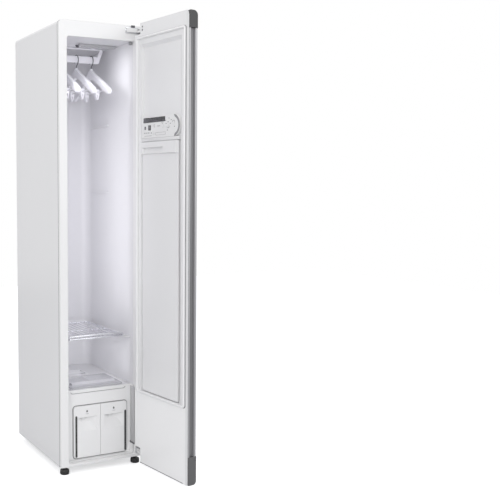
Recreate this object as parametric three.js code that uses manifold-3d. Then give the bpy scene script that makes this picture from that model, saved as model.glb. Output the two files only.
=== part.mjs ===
// A clothes care steam cabinet: a tall, narrow steel cabinet that steams and shakes clothes on a
// moving hanger bar, with a trouser press in its door and two water tanks in its foot.
// X runs to the door's hinge side, Y to the back and Z up. The door stands open, as in the photograph.
import * as THREE from "three";
import { mergeVertices } from "three/addons/utils/BufferGeometryUtils.js";
import Module from "manifold-3d";

const wasm = await Module();
wasm.setup();

// Driving sizes, in millimetres and degrees.
const gap = 0.3;
const overlap = 1;
const weld = 0.001;
const cabinet = { width: 372, depth: 540, height: 1850, ground: 33, sheet: 1.2, fold: 18, lip: 16 };
const frame = { depth: 18, side: 34, top: 63, bottom: 11, corner: 18, foot: 6, inner: 10 };
const chamber = { side: 35, back: 45, wall: 3, floor: 340, above: 60, corner: 40 };
const ledge = { reach: 7, height: 9, front: 265, levels: [1163, 1460] };
const shelfLedge = { reach: 26, height: 9, front: 48, level: 545 };
const vent = { length: 168, side: 13.5, front: 158, depth: 15, flange: 2, lip: 3, slots: 12, slotWidth: 5 };
const floorPan = { grilleFront: 50, grilleBehind: 50, grilleSide: 33.5, grilleHeight: 7, slots: 7 };
const ridge = { front: 92, depth: 26, height: 9 };
const filter = { behind: 109, depth: 96, half: 62, height: 22, rim: 5, ribs: 5, rib: 3, gripWidth: 6 };
const shelf = { side: 23.5, front: 62, behind: 47, wire: 3.5, corner: 18, slat: 2.2, slats: 11, drop: 0.5 };
const shelfRise = 11;
const bar = { drop: 66, below: 2, thick: 10, side: 28, slant: 29, height: 30, rail: 6, leg: 13 };
const stem = { spacing: 76, width: 16, depth: 9, travel: 22, play: 2, slider: 3.4, running: 0.3 };
const hanger = { thick: 15, hang: 67, rodDrop: 93, rod: 2.5, bevel: 3, front: 68, behind: 27 };
const hook = { wire: 2, bend: 20, lift: 0.6, neckRadius: 7, neck: 14 };
const clip = { offset: 58, width: 22, thick: 17, above: 9, below: 33, jaw: 3, lip: 1, bore: 0.5 };
const module = { face: 42, plate: 3, top: 340, returnWall: 2.5, wall: 2.5, machines: 290 };
const tank = { left: 34.5, right: 20, low: 50, high: 272, corner: 12, play: 1.2, front: 38, faceDepth: 20 };
const tankBody = { behind: 8, wall: 2.5, drop: 10, fill: 15, taper: 4 };
const scoop = { header: 50, depth: 12, inset: 7, foot: 60, flare: 30 };
const slotWindow = { width: 5, depth: 2, inset: 7, low: 57, high: 228 };
const foot = { inset: 24, rearInset: 110, radius: 19, height: 24, chamfer: 3, neck: 9, stud: 4.5, top: 46 };
const hinge = { inset: 20, forward: 30, pin: 5, head: 6.5, headHeight: 4, arm: 4, armHalf: 9, leaf: 3 };
const leafPlate = { inset: 4, width: 76, lowWidth: 29, height: 24, corner: 4 };
const door = { low: 22, rise: 2, inner: 10, thick: 42, open: 97, skin: 2, liner: 15, corner: 8 };
const doorSplit = 328;
const notch = { width: 26, topHeight: 44, lowHeight: 64, skin: 3.6, wall: 1.5 };
const boss = { radius: 10, height: 34, play: 0.4, end: 2, short: 4 };
const trim = { width: 14.7, capTop: 67, capLow: 113, corner: 6, grooveHigh: 12, grooveLow: -10, groove: 8 };
const trimRound = 13;
const recess = { hinge: 33, free: 86, slope: 19, hingeSlope: 3, above: 87, low: 335, topSlope: 14 };
const recessDepth = 12;
const gasket = { width: 11, height: 9.2, low: 325, above: 55, free: 35, corner: 12, channel: 3 };
const panel = { hinge: 36, free: 75, drop: 383.5, height: 86, face: 21.5, cut: 3 };
const display = { hinge: 47, free: 172, low: 61, height: 20.5, depth: 1.2 };
// The digit windows and the buttons, by shares of the cabinet's width from the hinge pin and of the
// panel's height from its lower edge.
const digitShares = [
  { near: 0.148, far: 0.178, low: 0.395, high: 0.547 },
  { near: 0.22, far: 0.272, low: 0.349, high: 0.593 },
];
const buttonShares = {
  power: [0.688, 0.605],
  start: [0.591, 0.5],
  course: [0.489, 0.5],
  option: [0.317, 0.221],
};
const digitDepth = 0.8;
const button = { radius: 6.5, height: 5.2, proud: 1.6, play: 0.4 };
const press = { hinge: 36, free: 90, low: 338, below: 14, thick: 7, corner: 8 };
const pullBlock = { height: 51, rise: 8.4, slope: 5 };
const pull = { free: 182, below: 24, depth: 11, hinge: 47, slope: 4, fade: 15 };
const pressPad = { hinge: 53, free: 123, low: 400, below: 91, thick: 3 };
const motor = { half: 62, front: 36, back: 62, base: 9, radius: 17, foot: 8 };
const louvre = { count: 10, pitch: 16, height: 5, half: 44, offset: 92, low: 70 };
const compressor = { x: 92, behind: 125, radius: 56, low: 62, high: 232, dome: 26, leg: 8, plate: 5 };
const compressorHalf = 64;
const armDrop = 112;
const rodShare = 0.76;
const spacingShare = 0.1882;
// The hanger's outline from its neck to its end, as shares of its reach and of its drop.
const armShares = [
  [0, 0.071], [0.06, 0.045], [0.17, -0.071], [0.4, -0.268], [0.65, -0.482], [0.88, -0.696], [0.965, -0.786],
  [1, -0.866], [0.985, -0.964], [0.93, -1],
  [0.8, -0.929], [0.6, -0.75], [0.4, -0.554], [0.2, -0.384], [0.07, -0.304], [0, -0.286],
];
// The hook's way from its bend to its neck, as shares of its last reach and of its bend radius.
const hookShares = [[0.5, 0.22], [0.12, 0.45], [0, 0.66]];
const boiler = { x: -92, behind: 100, half: 58, depth: 96, low: 42, height: 92, fins: 9, fin: 4, cut: 3 };
const coil = { side: 7.5, behind: 12, depth: 56, low: 190, height: 118, fins: 13, fin: 3, cut: 6, plate: 2 };
const blower = { rise: 16, height: 52, radius: 62, eye: 34, mouth: 44, reach: 74, wall: 4 };
const blowerLeg = 3;
const inletRadius = 14;

const halfWidth = cabinet.width / 2;
const chamberHalf = halfWidth - chamber.side;
const chamberBack = cabinet.depth - chamber.back;
const top = cabinet.height;
const ceiling = top - chamber.above;
const ground = cabinet.ground;
const pinX = halfWidth - hinge.inset;
const pinY = -hinge.forward;
const doorHigh = top + door.rise;

// Solids: three.js shapes made into manifold-3d solids, so that they can be joined and cut.
function toSolid(geometry) {
  const flat = geometry.index ? geometry.toNonIndexed() : geometry;
  const bare = new THREE.BufferGeometry().setAttribute("position", flat.getAttribute("position"));
  const merged = mergeVertices(bare, weld);
  const mesh = new wasm.Mesh({
    numProp: 3,
    vertProperties: merged.attributes.position.array,
    triVerts: new Uint32Array(merged.index.array),
  });
  return new wasm.Manifold(mesh);
}

// A closed THREE geometry from a solid, with flat normals.
function toGeometry(solid) {
  const mesh = solid.getMesh();
  const indexed = new THREE.BufferGeometry();
  indexed.setAttribute("position", new THREE.Float32BufferAttribute(mesh.vertProperties, 3));
  indexed.setIndex(new THREE.Uint32BufferAttribute(mesh.triVerts, 1));
  const geometry = indexed.toNonIndexed();
  geometry.computeVertexNormals();
  return geometry;
}

// A block between two corners.
function block(x0, x1, y0, y1, z0, z1) {
  const geometry = new THREE.BoxGeometry(x1 - x0, y1 - y0, z1 - z0);
  geometry.translate((x0 + x1) / 2, (y0 + y1) / 2, (z0 + z1) / 2);
  return toSolid(geometry);
}

const unitX = new THREE.Vector3(1, 0, 0);
const unitY = new THREE.Vector3(0, 1, 0);
const unitZ = new THREE.Vector3(0, 0, 1);

// Extrusions of an outline along Z, along X (outline in Y, Z) and along Y (outline in X, Z).
function extrude(shape, length, steps, bevel) {
  const options = { depth: length, curveSegments: steps, bevelEnabled: false };
  if (bevel) {
    options.depth = length - 2 * bevel;
    options.bevelEnabled = true;
    options.bevelSize = bevel;
    options.bevelOffset = -bevel;
    options.bevelThickness = bevel;
    options.bevelSegments = 2;
  }
  const geometry = new THREE.ExtrudeGeometry(shape, options);
  if (bevel) {
    geometry.translate(0, 0, bevel);
  }
  return geometry;
}

function alongZ(shape, z0, z1, steps = 6, bevel = 0) {
  return toSolid(extrude(shape, z1 - z0, steps, bevel).translate(0, 0, z0));
}

function alongX(shape, x0, x1, steps = 6, bevel = 0) {
  const basis = new THREE.Matrix4().makeBasis(unitY, unitZ, unitX);
  return toSolid(extrude(shape, x1 - x0, steps, bevel).applyMatrix4(basis).translate(x0, 0, 0));
}

function alongY(shape, y0, y1, steps = 6, bevel = 0) {
  const basis = new THREE.Matrix4().makeBasis(unitX, unitZ, unitY.clone().negate());
  return toSolid(extrude(shape, y1 - y0, steps, bevel).applyMatrix4(basis).translate(0, y1, 0));
}

// A rectangle with its own radius at each corner: low left, low right, high right, high left.
function roundedRect(u0, u1, v0, v1, radii) {
  const [a, b, c, d] = Array.isArray(radii) ? radii : [radii, radii, radii, radii];
  const shape = new THREE.Shape();
  shape.moveTo(u0 + a, v0);
  shape.lineTo(u1 - b, v0);
  if (b) {
    shape.absarc(u1 - b, v0 + b, b, -Math.PI / 2, 0, false);
  }
  shape.lineTo(u1, v1 - c);
  if (c) {
    shape.absarc(u1 - c, v1 - c, c, 0, Math.PI / 2, false);
  }
  shape.lineTo(u0 + d, v1);
  if (d) {
    shape.absarc(u0 + d, v1 - d, d, Math.PI / 2, Math.PI, false);
  }
  if (a) {
    shape.lineTo(u0, v0 + a);
    shape.absarc(u0 + a, v0 + a, a, Math.PI, Math.PI * 1.5, false);
  }
  return shape;
}

function circle(u, v, radius) {
  const shape = new THREE.Shape();
  shape.absarc(u, v, radius, 0, Math.PI * 2, false);
  return shape;
}

function polygon(points) {
  return new THREE.Shape(points.map(([u, v]) => new THREE.Vector2(u, v)));
}

// A closed body through rings of equally many points, from the first ring to the last.
function loft(rings, closed) {
  const positions = [];
  const count = rings[0].length;
  const face = (a, b, c) => positions.push(...a.toArray(), ...b.toArray(), ...c.toArray());
  const last = closed ? rings.length : rings.length - 1;
  for (let r = 0; r < last; r += 1) {
    const here = rings[r];
    const next = rings[(r + 1) % rings.length];
    for (let i = 0; i < count; i += 1) {
      const j = (i + 1) % count;
      face(here[i], here[j], next[j]);
      face(here[i], next[j], next[i]);
    }
  }
  if (!closed) {
    const end = rings[rings.length - 1];
    for (let i = 1; i < count - 1; i += 1) {
      face(rings[0][0], rings[0][i + 1], rings[0][i]);
      face(end[0], end[i], end[i + 1]);
    }
  }
  const geometry = new THREE.BufferGeometry();
  geometry.setAttribute("position", new THREE.Float32BufferAttribute(positions, 3));
  return toSolid(geometry);
}

// A rectangular funnel between two rectangles in X, Z at two Y values (y0 below y1).
function funnelY(near, far) {
  const ring = ({ x0, x1, z0, z1, y }) => [
    new THREE.Vector3(x0, y, z0),
    new THREE.Vector3(x0, y, z1),
    new THREE.Vector3(x1, y, z1),
    new THREE.Vector3(x1, y, z0),
  ];
  return loft([ring(near), ring(far)], false);
}

// A round wire along a path that lies in one plane, open or closed on itself.
function wire(path, radius, sides, planeNormal, closed) {
  const rings = path.map((point, i) => {
    const before = path[closed ? (i + path.length - 1) % path.length : Math.max(i - 1, 0)];
    const after = path[closed ? (i + 1) % path.length : Math.min(i + 1, path.length - 1)];
    const forward = after.clone().sub(before).normalize();
    const across = new THREE.Vector3().crossVectors(planeNormal, forward);
    return Array.from({ length: sides }, (_, k) => {
      const angle = (Math.PI * 2 * k) / sides;
      return point
        .clone()
        .addScaledVector(across, radius * Math.cos(angle))
        .addScaledVector(planeNormal, radius * Math.sin(angle));
    });
  });
  return loft(rings, closed);
}

// A turned body about the vertical through x, y, from radius and height pairs that start and end at 0.
function turned(x, y, profile, steps) {
  const geometry = new THREE.LatheGeometry(
    profile.map(([radius, height]) => new THREE.Vector2(radius, height)),
    steps,
  );
  geometry.rotateX(Math.PI / 2);
  geometry.translate(x, y, 0);
  return toSolid(geometry);
}

function post(x, y, radius, z0, z1, steps = 12) {
  return turned(x, y, [[0, z0], [radius, z0], [radius, z1], [0, z1]], steps);
}

const join = (...solids) => solids.reduce((sum, solid) => sum.add(solid));
const cut = (solid, ...tools) => tools.reduce((left, tool) => left.subtract(tool), solid);
const mirrored = (solid) => solid.mirror([1, 0, 0]);

// Colours and finishes as the photograph shows them.
const finish = {
  sideSteel: { color: 0xdfdfe0, roughness: 0.35, metalness: 0.15 },
  white: { color: 0xf1f1f1, roughness: 0.35, metalness: 0 },
  liner: { color: 0xd9d8df, roughness: 0.4, metalness: 0 },
  doorSkin: { color: 0xe6e6e7, roughness: 0.18, metalness: 0.1 },
  trimMetal: { color: 0x8d8e92, roughness: 0.3, metalness: 0.9 },
  charcoal: { color: 0x4a4b4e, roughness: 0.5, metalness: 0.1 },
  black: { color: 0x161617, roughness: 0.6, metalness: 0 },
  gasketGrey: { color: 0xc9c9cc, roughness: 0.7, metalness: 0 },
  foam: { color: 0xe8dfb8, roughness: 0.9, metalness: 0 },
  hangerWhite: { color: 0xf4f3f8, roughness: 0.3, metalness: 0 },
  chrome: { color: 0xc8c8cf, roughness: 0.15, metalness: 1 },
  steel: { color: 0xb4b6b9, roughness: 0.35, metalness: 0.9 },
  clear: { color: 0xd5d4dd, roughness: 0.2, metalness: 0 },
  ventGrey: { color: 0x9c9ca4, roughness: 0.5, metalness: 0.2 },
  control: { color: 0xe9e9ea, roughness: 0.3, metalness: 0 },
  pad: { color: 0xd0d0d2, roughness: 0.9, metalness: 0 },
  machine: { color: 0x2b2c2f, roughness: 0.5, metalness: 0.4 },
  copper: { color: 0xb0b2b4, roughness: 0.35, metalness: 0.8 },
};

function add(group, name, solid, look) {
  const mesh = new THREE.Mesh(toGeometry(solid), new THREE.MeshStandardMaterial(finish[look]));
  mesh.name = name;
  group.add(mesh);
  return mesh;
}

const root = new THREE.Group();
root.name = "steam_cabinet";
const body = new THREE.Group();
body.name = "cabinet_group";
root.add(body);

// Front frame: the white ring around the chamber and the tanks, rounded at its top corners.
const frameOutline = roundedRect(-halfWidth, halfWidth, ground, top, [
  frame.foot,
  frame.foot,
  frame.corner,
  frame.corner,
]);
const frameHole = roundedRect(
  frame.side - halfWidth,
  halfWidth - frame.side,
  ground + frame.bottom,
  top - frame.top,
  frame.inner,
);
frameOutline.holes.push(frameHole);
add(body, "front_frame", alongY(frameOutline, 0, frame.depth), "white");

// Folded steel sides: a flat sheet with a fold behind the frame and one at the back.
const sheet = cabinet.sheet;
const shellFront = frame.depth + gap;
const shellBack = cabinet.depth - sheet - gap;
const sideOutline = polygon([
  [-halfWidth, shellFront],
  [cabinet.fold - halfWidth, shellFront],
  [cabinet.fold - halfWidth, shellFront + sheet],
  [sheet - halfWidth, shellFront + sheet],
  [sheet - halfWidth, shellBack - sheet],
  [cabinet.fold - halfWidth, shellBack - sheet],
  [cabinet.fold - halfWidth, shellBack],
  [-halfWidth, shellBack],
]);
const sidePanel = alongZ(sideOutline, ground + sheet + gap, top - sheet - gap);
add(body, "left_side_panel", sidePanel, "sideSteel");
add(body, "right_side_panel", mirrored(sidePanel), "sideSteel");

// Top and base: flat sheets with lips that stand just inside the sides.
const lipOuter = halfWidth - sheet - gap;
const lipFront = shellFront + sheet + gap;
const lipBack = shellBack - sheet - gap;
function tray(z0, z1, lip0, lip1) {
  const skin = block(-halfWidth, halfWidth, shellFront, shellBack, z0, z1);
  const leftLip = block(-lipOuter, sheet - lipOuter, lipFront, lipBack, lip0, lip1);
  return join(skin, leftLip, mirrored(leftLip));
}
add(body, "top_panel", tray(top - sheet, top, top - sheet - cabinet.lip, top - overlap), "sideSteel");
const footSpots = {
  front: [halfWidth - foot.inset, foot.inset],
  rear: [halfWidth - foot.rearInset, cabinet.depth - foot.inset],
};
let base = tray(ground, ground + sheet, ground + overlap, ground + sheet + cabinet.lip);
for (const [end, [across, y]] of Object.entries(footSpots)) {
  for (const x of [-across, across]) {
    const boss0 = post(x, y, foot.neck + sheet, ground, ground + cabinet.lip / 2);
    const bore = post(x, y, foot.stud + gap, ground - overlap, top);
    const clearance = block(x - foot.radius, x + foot.radius, y - foot.radius, lipFront, ground, top);
    base = cut(join(base, end === "front" ? cut(boss0, clearance) : boss0), bore);
  }
}
add(body, "base_pan", base, "steel");

// Levelling feet: a disc, a neck and a threaded stud through the base.
const footProfile = [
  [0, 0],
  [foot.radius - foot.chamfer, 0],
  [foot.radius, foot.chamfer],
  [foot.radius, foot.height - foot.chamfer],
  [foot.radius - foot.chamfer, foot.height],
  [foot.neck, foot.height + foot.chamfer],
  [foot.neck, ground - gap],
  [foot.stud, ground - gap],
  [foot.stud, foot.top],
  [0, foot.top],
];
for (const [side, hand] of Object.entries({ left: -1, right: 1 })) {
  for (const [end, [across, y]] of Object.entries(footSpots)) {
    add(body, `foot_${end}_${side}`, turned(hand * across, y, footProfile, 12), "black");
  }
}

// Back panel with two fields of air slots for the machine space and the hole of the power inlet.
const airSlots = [-louvre.offset, louvre.offset].flatMap((centre) =>
  Array.from({ length: louvre.count }, (_, i) => {
    const z = louvre.low + i * louvre.pitch;
    return block(centre - louvre.half, centre + louvre.half, 0, 2 * cabinet.depth, z, z + louvre.height);
  }),
);
const inletHole = alongY(circle(0, louvre.low, inletRadius), 0, 2 * cabinet.depth, 8);
const backPlate = block(-halfWidth, halfWidth, cabinet.depth - sheet, cabinet.depth, ground, top);
add(body, "back_panel", cut(backPlate, ...airSlots, inletHole), "sideSteel");

// Insulation: one foam body poured around the chamber.
const foamOuter = halfWidth - sheet - gap;
const foamInner = chamberHalf + chamber.wall + gap;
const foamBack = shellBack - sheet - gap;
const foamShape = polygon([
  [-foamOuter, lipFront],
  [-foamInner, lipFront],
  [-foamInner, chamberBack + chamber.wall + gap],
  [foamInner, chamberBack + chamber.wall + gap],
  [foamInner, lipFront],
  [foamOuter, lipFront],
  [foamOuter, foamBack],
  [-foamOuter, foamBack],
]);
const foamLow = chamber.floor + chamber.wall;
const foamHigh = top - sheet - cabinet.lip - gap;
add(body, "insulation", alongZ(foamShape, foamLow, foamHigh), "foam");

// Chamber walls: moulded liners with the ledges that carry a shelf at three heights.
const sideEnd = chamberBack - chamber.corner - gap;
const wallFront = shellFront;
function ledgeAt(z, y0, { reach, height }) {
  const x0 = -chamberHalf - overlap;
  const noseY = y0 + 2 * height;
  const x1 = reach - chamberHalf;
  const nose = funnelY(
    { x0, x1: x1 - height / 3, z0: z - height / 2, z1: z, y: y0 },
    { x0, x1, z0: z - height, z1: z, y: noseY },
  );
  return join(nose, block(x0, x1, noseY - gap, sideEnd - 2 * gap, z - height, z));
}
const outerHalf = chamberHalf + chamber.wall;
const sideWall = join(
  block(-outerHalf, -chamberHalf, wallFront, sideEnd, chamber.floor + gap, ceiling - gap),
  ...ledge.levels.map((z) => ledgeAt(z, ledge.front, ledge)),
  ledgeAt(shelfLedge.level, shelfLedge.front, shelfLedge),
);
add(body, "chamber_left_wall", sideWall, "liner");
add(body, "chamber_right_wall", mirrored(sideWall), "liner");

// Back wall of the chamber, which turns both rear corners in a wide curve.
const turn = new THREE.Shape();
const turnOuter = chamber.corner + chamber.wall;
const outerBack = chamberBack + chamber.wall;
turn.moveTo(-outerHalf, chamberBack - chamber.corner);
turn.absarc(turnOuter - outerHalf, outerBack - turnOuter, turnOuter, Math.PI, Math.PI / 2, true);
turn.lineTo(outerHalf - turnOuter, outerBack);
turn.absarc(outerHalf - turnOuter, outerBack - turnOuter, turnOuter, Math.PI / 2, 0, true);
turn.lineTo(chamberHalf, chamberBack - chamber.corner);
turn.absarc(
  chamberHalf - chamber.corner,
  chamberBack - chamber.corner,
  chamber.corner,
  0,
  Math.PI / 2,
  false,
);
turn.lineTo(chamber.corner - chamberHalf, chamberBack);
turn.absarc(
  chamber.corner - chamberHalf,
  chamberBack - chamber.corner,
  chamber.corner,
  Math.PI / 2,
  Math.PI,
  false,
);
const backWall = alongZ(turn, chamber.floor + gap, ceiling - gap, 8);
add(body, "chamber_back_wall", backWall, "liner");

// Ceiling with a cut for the vent strip and two slots for the moving bar's stems.
const barY = (hanger.front + chamberBack - hanger.behind) / 2;
const barLow = ceiling - bar.drop;
const barFront = barY - bar.thick / 2;
const barBack = barY + bar.thick / 2;
const stems = [-stem.spacing, stem.spacing];
const ventRight = chamberHalf - vent.side;
const ventLeft = ventRight - vent.length;
const ventCut = block(
  ventLeft + vent.lip,
  ventRight - vent.lip,
  vent.front + vent.lip,
  vent.front + vent.depth - vent.lip,
  chamber.floor,
  top,
);
const stemSlots = stems.map((x) =>
  block(
    x - stem.width / 2 - stem.travel,
    x + stem.width / 2 + stem.travel,
    barY - stem.depth / 2 - stem.play,
    barY + stem.depth / 2 + stem.play,
    chamber.floor,
    top,
  ),
);
const ceilingTop = ceiling + chamber.wall;
const ceilingPlate = block(
  -chamberHalf - chamber.wall,
  chamberHalf + chamber.wall,
  wallFront,
  chamberBack + chamber.wall,
  ceiling,
  ceilingTop,
);
add(body, "chamber_ceiling", cut(ceilingPlate, ventCut, ...stemSlots), "liner");

// Vent strip in the ceiling: a flange below the ceiling, a neck through it and a row of slots.
const ventNeck = block(
  ventLeft + vent.lip + gap,
  ventRight - vent.lip - gap,
  vent.front + vent.lip + gap,
  vent.front + vent.depth - vent.lip - gap,
  ceiling - vent.flange,
  ceilingTop,
);
const ventFlange = alongZ(
  roundedRect(ventLeft, ventRight, vent.front, vent.front + vent.depth, vent.depth / 2 - gap),
  ceiling - gap - vent.flange,
  ceiling - gap,
  4,
);
const ventPitch = (ventRight - ventLeft - 4 * vent.lip) / vent.slots;
const ventSlots = Array.from({ length: vent.slots }, (_, i) => {
  const x = ventLeft + 2 * vent.lip + (i + 1 / 2) * ventPitch;
  return block(
    x - vent.slotWidth / 2,
    x + vent.slotWidth / 2,
    vent.front + vent.lip + 2 * gap + overlap,
    vent.front + vent.depth - vent.lip - 2 * gap - overlap,
    chamber.floor,
    top,
  );
});
add(body, "ceiling_vent", cut(join(ventFlange, ventNeck), ...ventSlots), "ventGrey");

// Chamber floor with the seat of the filter, and the clear grille with its ridge at the front.
const floorTop = chamber.floor;
const floorLow = floorTop - chamber.wall;
const filterFront = chamberBack - filter.behind - filter.depth;
const grilleHalf = chamberHalf - floorPan.grilleSide;
const grilleBack = filterFront - floorPan.grilleBehind;
const filterSeat = block(
  -filter.half - gap,
  filter.half + gap,
  filterFront - gap,
  filterFront + filter.depth + gap,
  ground,
  top,
);
const floorVent = block(
  -grilleHalf + cabinet.fold,
  grilleHalf - cabinet.fold,
  floorPan.grilleFront + cabinet.fold,
  grilleBack - cabinet.fold,
  ground,
  top,
);
const floorPlate = block(
  -chamberHalf - chamber.wall,
  chamberHalf + chamber.wall,
  module.face + module.plate + gap,
  chamberBack + chamber.wall,
  floorLow,
  floorTop,
);
add(body, "chamber_floor", cut(floorPlate, filterSeat, floorVent), "liner");

const grilleLow = floorTop + gap;
const grilleTop = grilleLow + floorPan.grilleHeight;
const grilleShape = roundedRect(
  -grilleHalf,
  grilleHalf,
  floorPan.grilleFront,
  grilleBack,
  cabinet.fold / 2,
);
const ridgeShape = polygon([
  [ridge.front, grilleTop - overlap],
  [ridge.front + ridge.depth, grilleTop - overlap],
  [ridge.front + ridge.depth, grilleTop + overlap],
  [ridge.front + ridge.depth / 2, grilleTop + ridge.height],
  [ridge.front, grilleTop + overlap],
]);
const ridgeHalf = grilleHalf - cabinet.fold;
const grilleSlotPitch = (grilleBack - ridge.front - ridge.depth - cabinet.fold) / floorPan.slots;
const grilleSlots = Array.from({ length: floorPan.slots }, (_, i) => {
  const y = ridge.front + ridge.depth + cabinet.fold / 2 + (i + 1 / 4) * grilleSlotPitch;
  return [-1, 1].map((side) =>
    block(
      side > 0 ? overlap + sheet : -ridgeHalf,
      side > 0 ? ridgeHalf : -overlap - sheet,
      y,
      y + grilleSlotPitch / 2,
      floorTop - overlap,
      top,
    ),
  );
}).flat();
const grille = cut(
  join(
    alongZ(grilleShape, grilleLow, grilleTop, 3, sheet / 2),
    alongX(ridgeShape, -ridgeHalf, ridgeHalf),
  ),
  ...grilleSlots,
);
add(body, "floor_grille", grille, "clear");

// Lint filter: a ribbed tray in the floor with a grip across it. It lifts out.
const filterBack = filterFront + filter.depth;
const filterTop = floorTop + sheet;
const filterLow = filterTop - filter.height;
const filterBox = cut(
  block(-filter.half, filter.half, filterFront, filterBack, filterLow, filterTop),
  block(
    filter.rim - filter.half,
    filter.half - filter.rim,
    filterFront + filter.rim,
    filterBack - filter.rim,
    filterLow - overlap,
    filterTop + overlap,
  ),
);
const filterPitch = (2 * (filter.half - filter.rim)) / (filter.ribs + 1);
const filterRibs = Array.from({ length: filter.ribs }, (_, i) => {
  const x = filter.rim - filter.half + (i + 1) * filterPitch;
  return block(x - filter.rib / 2, x + filter.rib / 2, filterFront + overlap, filterBack - overlap,
    filterLow, filterLow + filter.rib);
});
const filterNet = block(
  filter.rim - filter.half - overlap,
  filter.half - filter.rim + overlap,
  filterFront + filter.rim - overlap,
  filterBack - filter.rim + overlap,
  filterLow + filter.rib - gap,
  filterLow + filter.rib + overlap,
);
const filterGrip = block(
  -filter.half + overlap,
  filter.half - overlap,
  (filterFront + filterBack - filter.gripWidth) / 2,
  (filterFront + filterBack + filter.gripWidth) / 2,
  filterTop - filter.rim,
  filterTop,
);
add(body, "lint_filter", join(filterBox, filterNet, filterGrip, ...filterRibs), "control");

// Wire shelf: a thick wire loop with slats from front to back and a raised front rail. It pulls out.
const shelfBack = chamberBack - shelf.behind;
const shelfHalf = chamberHalf - shelf.side;
const shelfZ = shelfLedge.level + shelf.drop + shelf.wire;
const loopShape = roundedRect(-shelfHalf, shelfHalf, shelf.front, shelfBack, shelf.corner);
const loopPath = loopShape
  .extractPoints(3)
  .shape.filter((point, i, all) => i === 0 || point.distanceTo(all[i - 1]) > weld)
  .filter((point, i, all) => i < all.length - 1 || point.distanceTo(all[0]) > weld)
  .map((point) => new THREE.Vector3(point.x, point.y, shelfZ));
const slatPitch = (2 * (shelfHalf - shelf.corner)) / (shelf.slats - 1);
const slats = Array.from({ length: shelf.slats }, (_, i) => {
  const x = shelf.corner - shelfHalf + i * slatPitch;
  const ends = [shelf.front, shelfBack].map((y) => new THREE.Vector3(x, y, shelfZ));
  return wire(ends, shelf.slat, 5, unitZ, false);
});
const shelfMiddle = (shelf.front + shelfBack) / 2;
const crossWire = wire(
  [-shelfHalf, shelfHalf].map((x) => new THREE.Vector3(x, shelfMiddle, shelfZ - shelf.slat / 2)),
  shelf.slat,
  6,
  unitZ,
  false,
);
const railPoints = [
  [shelf.corner - shelfHalf, shelfZ],
  [shelf.corner - shelfHalf, shelfZ + shelfRise],
  [shelfHalf - shelf.corner, shelfZ + shelfRise],
  [shelfHalf - shelf.corner, shelfZ],
];
const frontRail = wire(
  railPoints.map(([x, z]) => new THREE.Vector3(x, shelf.front, z)),
  shelf.slat,
  6,
  unitY,
  false,
);
const shelfLoop = wire(loopPath, shelf.wire, 6, unitZ, true);
add(body, "wire_shelf", join(shelfLoop, crossWire, frontRail, ...slats), "chrome");

// Moving hanger bar: a ring with a deep lower rail, slanted legs and two stems through the ceiling.
const barTop = ceiling - bar.below;
const barTopHalf = chamberHalf - bar.side;
const barLowHalf = barTopHalf - bar.slant;
const ringOuter = new THREE.Shape();
ringOuter.moveTo(-barLowHalf, barLow);
ringOuter.lineTo(barLowHalf, barLow);
ringOuter.quadraticCurveTo(barLowHalf + bar.leg, barLow, barLowHalf + bar.leg, barLow + bar.leg);
ringOuter.lineTo(barTopHalf, barTop - bar.leg);
ringOuter.quadraticCurveTo(barTopHalf, barTop, barTopHalf - bar.leg, barTop);
ringOuter.lineTo(bar.leg - barTopHalf, barTop);
ringOuter.quadraticCurveTo(-barTopHalf, barTop, -barTopHalf, barTop - bar.leg);
ringOuter.lineTo(-barLowHalf - bar.leg, barLow + bar.leg);
ringOuter.quadraticCurveTo(-barLowHalf - bar.leg, barLow, -barLowHalf, barLow);
const holeLow = barLow + bar.height;
const holeHigh = barTop - bar.rail;
const ringHole = new THREE.Path();
ringHole.moveTo(bar.leg - barLowHalf, holeLow);
ringHole.lineTo(barTopHalf - 2 * bar.leg, holeLow);
ringHole.lineTo(barTopHalf - bar.leg, holeHigh);
ringHole.lineTo(bar.leg - barTopHalf, holeHigh);
ringHole.lineTo(2 * bar.leg - barTopHalf, holeLow);
ringOuter.holes.push(ringHole);
const railRound = bar.thick / 2;
const railHalf = barLowHalf - bar.leg;
const railCrown = alongX(circle(barY, holeLow - railRound, railRound), -railHalf, railHalf, 10);
const railShave = block(
  bar.leg - barLowHalf + overlap,
  barLowHalf - bar.leg - overlap,
  barFront - overlap,
  barBack + overlap,
  holeLow - railRound,
  holeLow + overlap,
);
const stemSolids = stems.map((x) =>
  block(
    x - stem.width / 2,
    x + stem.width / 2,
    barY - stem.depth / 2,
    barY + stem.depth / 2,
    barTop - overlap,
    ceilingTop + bar.below,
  ),
);
const sliderLow = ceilingTop + stem.running;
const sliderHigh = sliderLow + stem.slider;
const slider = block(
  -stem.spacing - stem.width,
  stem.spacing + stem.width,
  barY - bar.thick,
  barY + bar.thick,
  sliderLow,
  sliderHigh,
);
const ringSolid = cut(alongY(ringOuter, barFront, barBack, 5), railShave);
add(body, "hanger_bar", join(ringSolid, railCrown, ...stemSolids, slider), "hangerWhite");

// Shaker motor above the ceiling: a gear housing on two feet astride the slider, with a motor can on top.
const motorLow = sliderHigh + gap;
const motorFront = barY - motor.front;
const motorBack = barY + motor.back;
const motorHousing = block(-motor.half, motor.half, motorFront, motorBack, motorLow, motorLow + motor.base);
const motorFeet = [motorFront, motorBack - motor.foot].map((y) =>
  block(-motor.half, motor.half, y, y + motor.foot, ceilingTop + gap, motorLow + overlap),
);
const motorCan = alongX(
  circle(barY + motor.radius, motorLow + motor.base + motor.radius - sheet, motor.radius),
  -motor.half + motor.base,
  motor.half - 2 * motor.base,
  8,
);
add(body, "shaker_motor", join(motorHousing, motorCan, ...motorFeet), "machine");

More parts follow.
